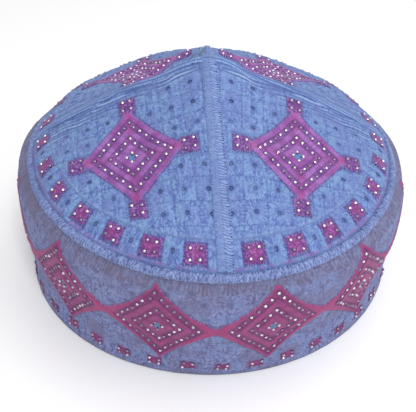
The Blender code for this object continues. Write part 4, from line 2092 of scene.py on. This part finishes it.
@dataclass
class Band:
    """The side band: a closed wall with a turned hem, worked outside and plain inside."""

    shape: CapShape
    pattern: BandPattern
    finishes: Finishes
    around: int = 820
    rows: int = 100
    inner_rows: int = 12
    hem_round: float = 0.0013
    hem_fullness: float = 0.999
    hem_flat: Range = (0.0, 0.002)
    hem_inner_share: float = 0.4
    inner_cells: tuple = (10, 8)
    hand: float = 0.2
    seed: int = 6
    metal_share: float = 0.85
    # The band's studs get at least this share of painted dim reflection, so they are painted darker.
    least_painted_dim_reflection: float = 0.3

    def worked_points(self, turn: Array, share: Array) -> tuple[Array, Array, Needlework]:
        """Place points on the worked outside: the plain form plus the needlework along its normal.

        Over the table the last millimetre turns in by a quarter circle, as a folded hem does.

        Args:
            turn: Angle round the cap, radians.
            share: Height share.

        Returns:
            Points, normals and the needlework.
        """
        normals = self.shape.band_normal(turn, share)
        work = self.pattern.work(turn, share, self.shape.band_top(turn))
        plain = self.shape.band_point(turn, share)
        over = np.clip(1 - plain[..., 2] / self.hem_round, 0, 1)
        fold = -self.hem_round * (1 - np.sqrt(1 - over**2 * self.hem_fullness))
        lift = work.height * MM * ease(*self.hem_flat, plain[..., 2]) + fold
        moved = plain + normals * lift[..., None]
        moved[..., 2] = np.maximum(moved[..., 2], 0.0)
        return moved, normals, work

    def build(self) -> bpy.types.Object:
        """Build the band as a closed section carried round the cap.

        The section goes up the worked outside, over the top edge and down the plain inside.

        Returns:
            The band.
        """
        turn = np.linspace(-math.pi, math.pi, self.around, endpoint=False)[:, None]
        top = self.shape.band_top(turn)
        share = top * np.linspace(0, 1, self.rows)[None, :]
        outside, _, work = self.worked_points(turn + 0 * share, share)
        inner_share = top * np.linspace(1, 0, self.inner_rows)[None, :]
        inner_turn = turn + 0 * inner_share
        inward = self.shape.band_normal(inner_turn, inner_share) * self.shape.cloth
        inside = self.shape.band_point(inner_turn, inner_share) - inward
        kept = self.hem_inner_share
        inside[:, -1] = outside[:, 0] * (1 - kept) + inside[:, -1] * kept
        inside[:, -1, 2] = 0.0
        points = np.concatenate([outside, inside], axis=1)
        faces = grid_quads(self.around, points.shape[1], wrap_rows=True, wrap_columns=True).tolist()
        band = make_piece("side_band", points, faces, [self.finishes.band])
        for key, values in work.attributes().items():
            inner = np.full(inner_share.shape, PLAIN_CLOTH.get(key, 0.0))
            store(band, key, np.concatenate([values, inner], axis=1))
        inner_cells = np.stack([inner_turn, inner_share], axis=-1) * self.inner_cells
        store_uv(band, "cells", np.concatenate([work.cells, inner_cells], axis=1))
        return band

    def build_studs(self) -> list[bpy.types.Object]:
        """Build the medallions' studs and the hem squares' studs, each as one mesh."""
        made = []
        pattern = self.pattern
        stud = Stud(metal_share=self.metal_share, least_painted_dim_reflection=self.least_painted_dim_reflection)
        for name, places in (("studs_band", pattern.stud_places()), ("studs_hem", pattern.hem_stud_places())):
            off = np.random.default_rng(self.seed).normal(0, self.hand, (2, len(places[0])))
            turns, shares = places[0] + off[0] / pattern.radius, places[1] + off[1] / pattern.tall
            centres, normals, _ = self.worked_points(turns, shares)
            made.append(stud.build(name, centres, normals, self.finishes.studs))
        return made

    def dress(self) -> bpy.types.Object:
        """Build the band and its studs and tell the frame what they are."""
        band = self.build()
        studs = self.build_studs()
        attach(band, BODY)
        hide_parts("band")
        for piece in studs:
            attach(piece, BODY)
        return band


@dataclass
class Studio:
    """The floor, the soft lights and the camera at the photograph's angle."""

    target: tuple = (-0.0012, 0.0, 0.0279)
    elevation: float = 0.7156
    azimuth: float = -0.0677
    distance: float = 0.3711
    roll: float = 0.0167
    lens: float = 59.6
    sensor: float = 36.0
    nearest: float = 0.01
    floor_half: float = 3.0
    light_aim: float = 0.05
    world_strength: float = 0.68
    lights: tuple = (
        ("overhead", (0.25, 0.05, 0.92), 0.7, 2.4, WHITE),
        ("key", (0.08, -0.55, 0.80), 0.20, 3.2, WHITE),
        ("right_fill", (0.85, -0.35, 0.40), 0.5, 1.2, (0.92, 0.96, 1.0)),
    )

    def add_camera(self) -> None:
        """Stand the camera on the sphere round its target and roll it slightly."""
        level, tilt = math.cos(self.elevation), math.sin(self.elevation)
        back = np.array([math.sin(self.azimuth) * level, -math.cos(self.azimuth) * level, tilt])
        place = np.array(self.target) + back * self.distance
        right = unit(np.cross(-back, [0.0, 0.0, 1.0]))
        upwards = np.cross(right, -back)
        turned_right = math.cos(self.roll) * right + math.sin(self.roll) * upwards
        turned_up = math.cos(self.roll) * upwards - math.sin(self.roll) * right
        data = bpy.data.cameras.new("camera")
        data.lens = self.lens
        data.sensor_width = self.sensor
        data.clip_start = self.nearest
        camera = bpy.data.objects.new("camera", data)
        bpy.context.scene.collection.objects.link(camera)
        matrix = np.eye(4)
        matrix[:3, :3] = np.stack([turned_right, turned_up, back], axis=1)
        matrix[:3, 3] = place
        camera.matrix_world = Matrix(matrix.tolist())
        bpy.context.scene.camera = camera

    def add_light(self, name: str, place: tuple, size: float, power: float, colour: tuple) -> None:
        """Hang one soft square light that faces the cap."""
        data = bpy.data.lights.new(name, "AREA")
        data.size = size
        data.energy = power
        data.color = colour
        light = bpy.data.objects.new(name, data)
        light.location = place
        aim = np.array(place) - np.array([0.0, 0.0, self.light_aim])
        yaw = math.atan2(aim[1], aim[0]) + math.pi / 2
        light.rotation_euler = (math.atan2(math.hypot(aim[0], aim[1]), aim[2]), 0.0, yaw)
        bpy.context.scene.collection.objects.link(light)

    def build(self) -> None:
        """Lay the floor, hang the lights and stand the camera."""
        half = self.floor_half
        corners = np.array([[-half, -half, 0], [half, -half, 0], [half, half, 0], [-half, half, 0]], float)
        mesh = bpy.data.meshes.new("floor")
        mesh.from_pydata(corners.tolist(), [], [[0, 1, 2, 3]])
        mesh.materials.append(FloorPaint().material())
        floor = bpy.data.objects.new("floor", mesh)
        bpy.context.scene.collection.objects.link(floor)
        for light in self.lights:
            self.add_light(*light)
        world = bpy.data.worlds.new("studio")
        world.use_nodes = True
        fill(world.node_tree.nodes["Background"], {0: (*WHITE, 1.0), 1: self.world_strength})
        bpy.context.scene.world = world
        bpy.context.scene.view_settings.view_transform = "Standard"
        self.add_camera()


def main() -> None:
    """Build the cap's sub-assemblies and the studio, and log each piece."""
    logging.basicConfig(level=logging.INFO, format="%(message)s")
    shape = CapShape()
    finishes = Finishes.make()
    crown_pattern = CrownPattern()
    pieces = [Gore(shape, crown_pattern, finishes, side, end).dress() for end in End for side in Side]
    pieces += [SeamStrip(shape, finishes, seam).dress() for seam in Seam]
    pieces.append(RimRoll(shape, finishes).dress())
    pieces.append(Band(shape, BandPattern(), finishes).dress())
    for piece in pieces:
        log.info("%s: %d faces", piece.name, len(piece.data.polygons))
    Studio().build()


if __name__ == "__main__":
    main()
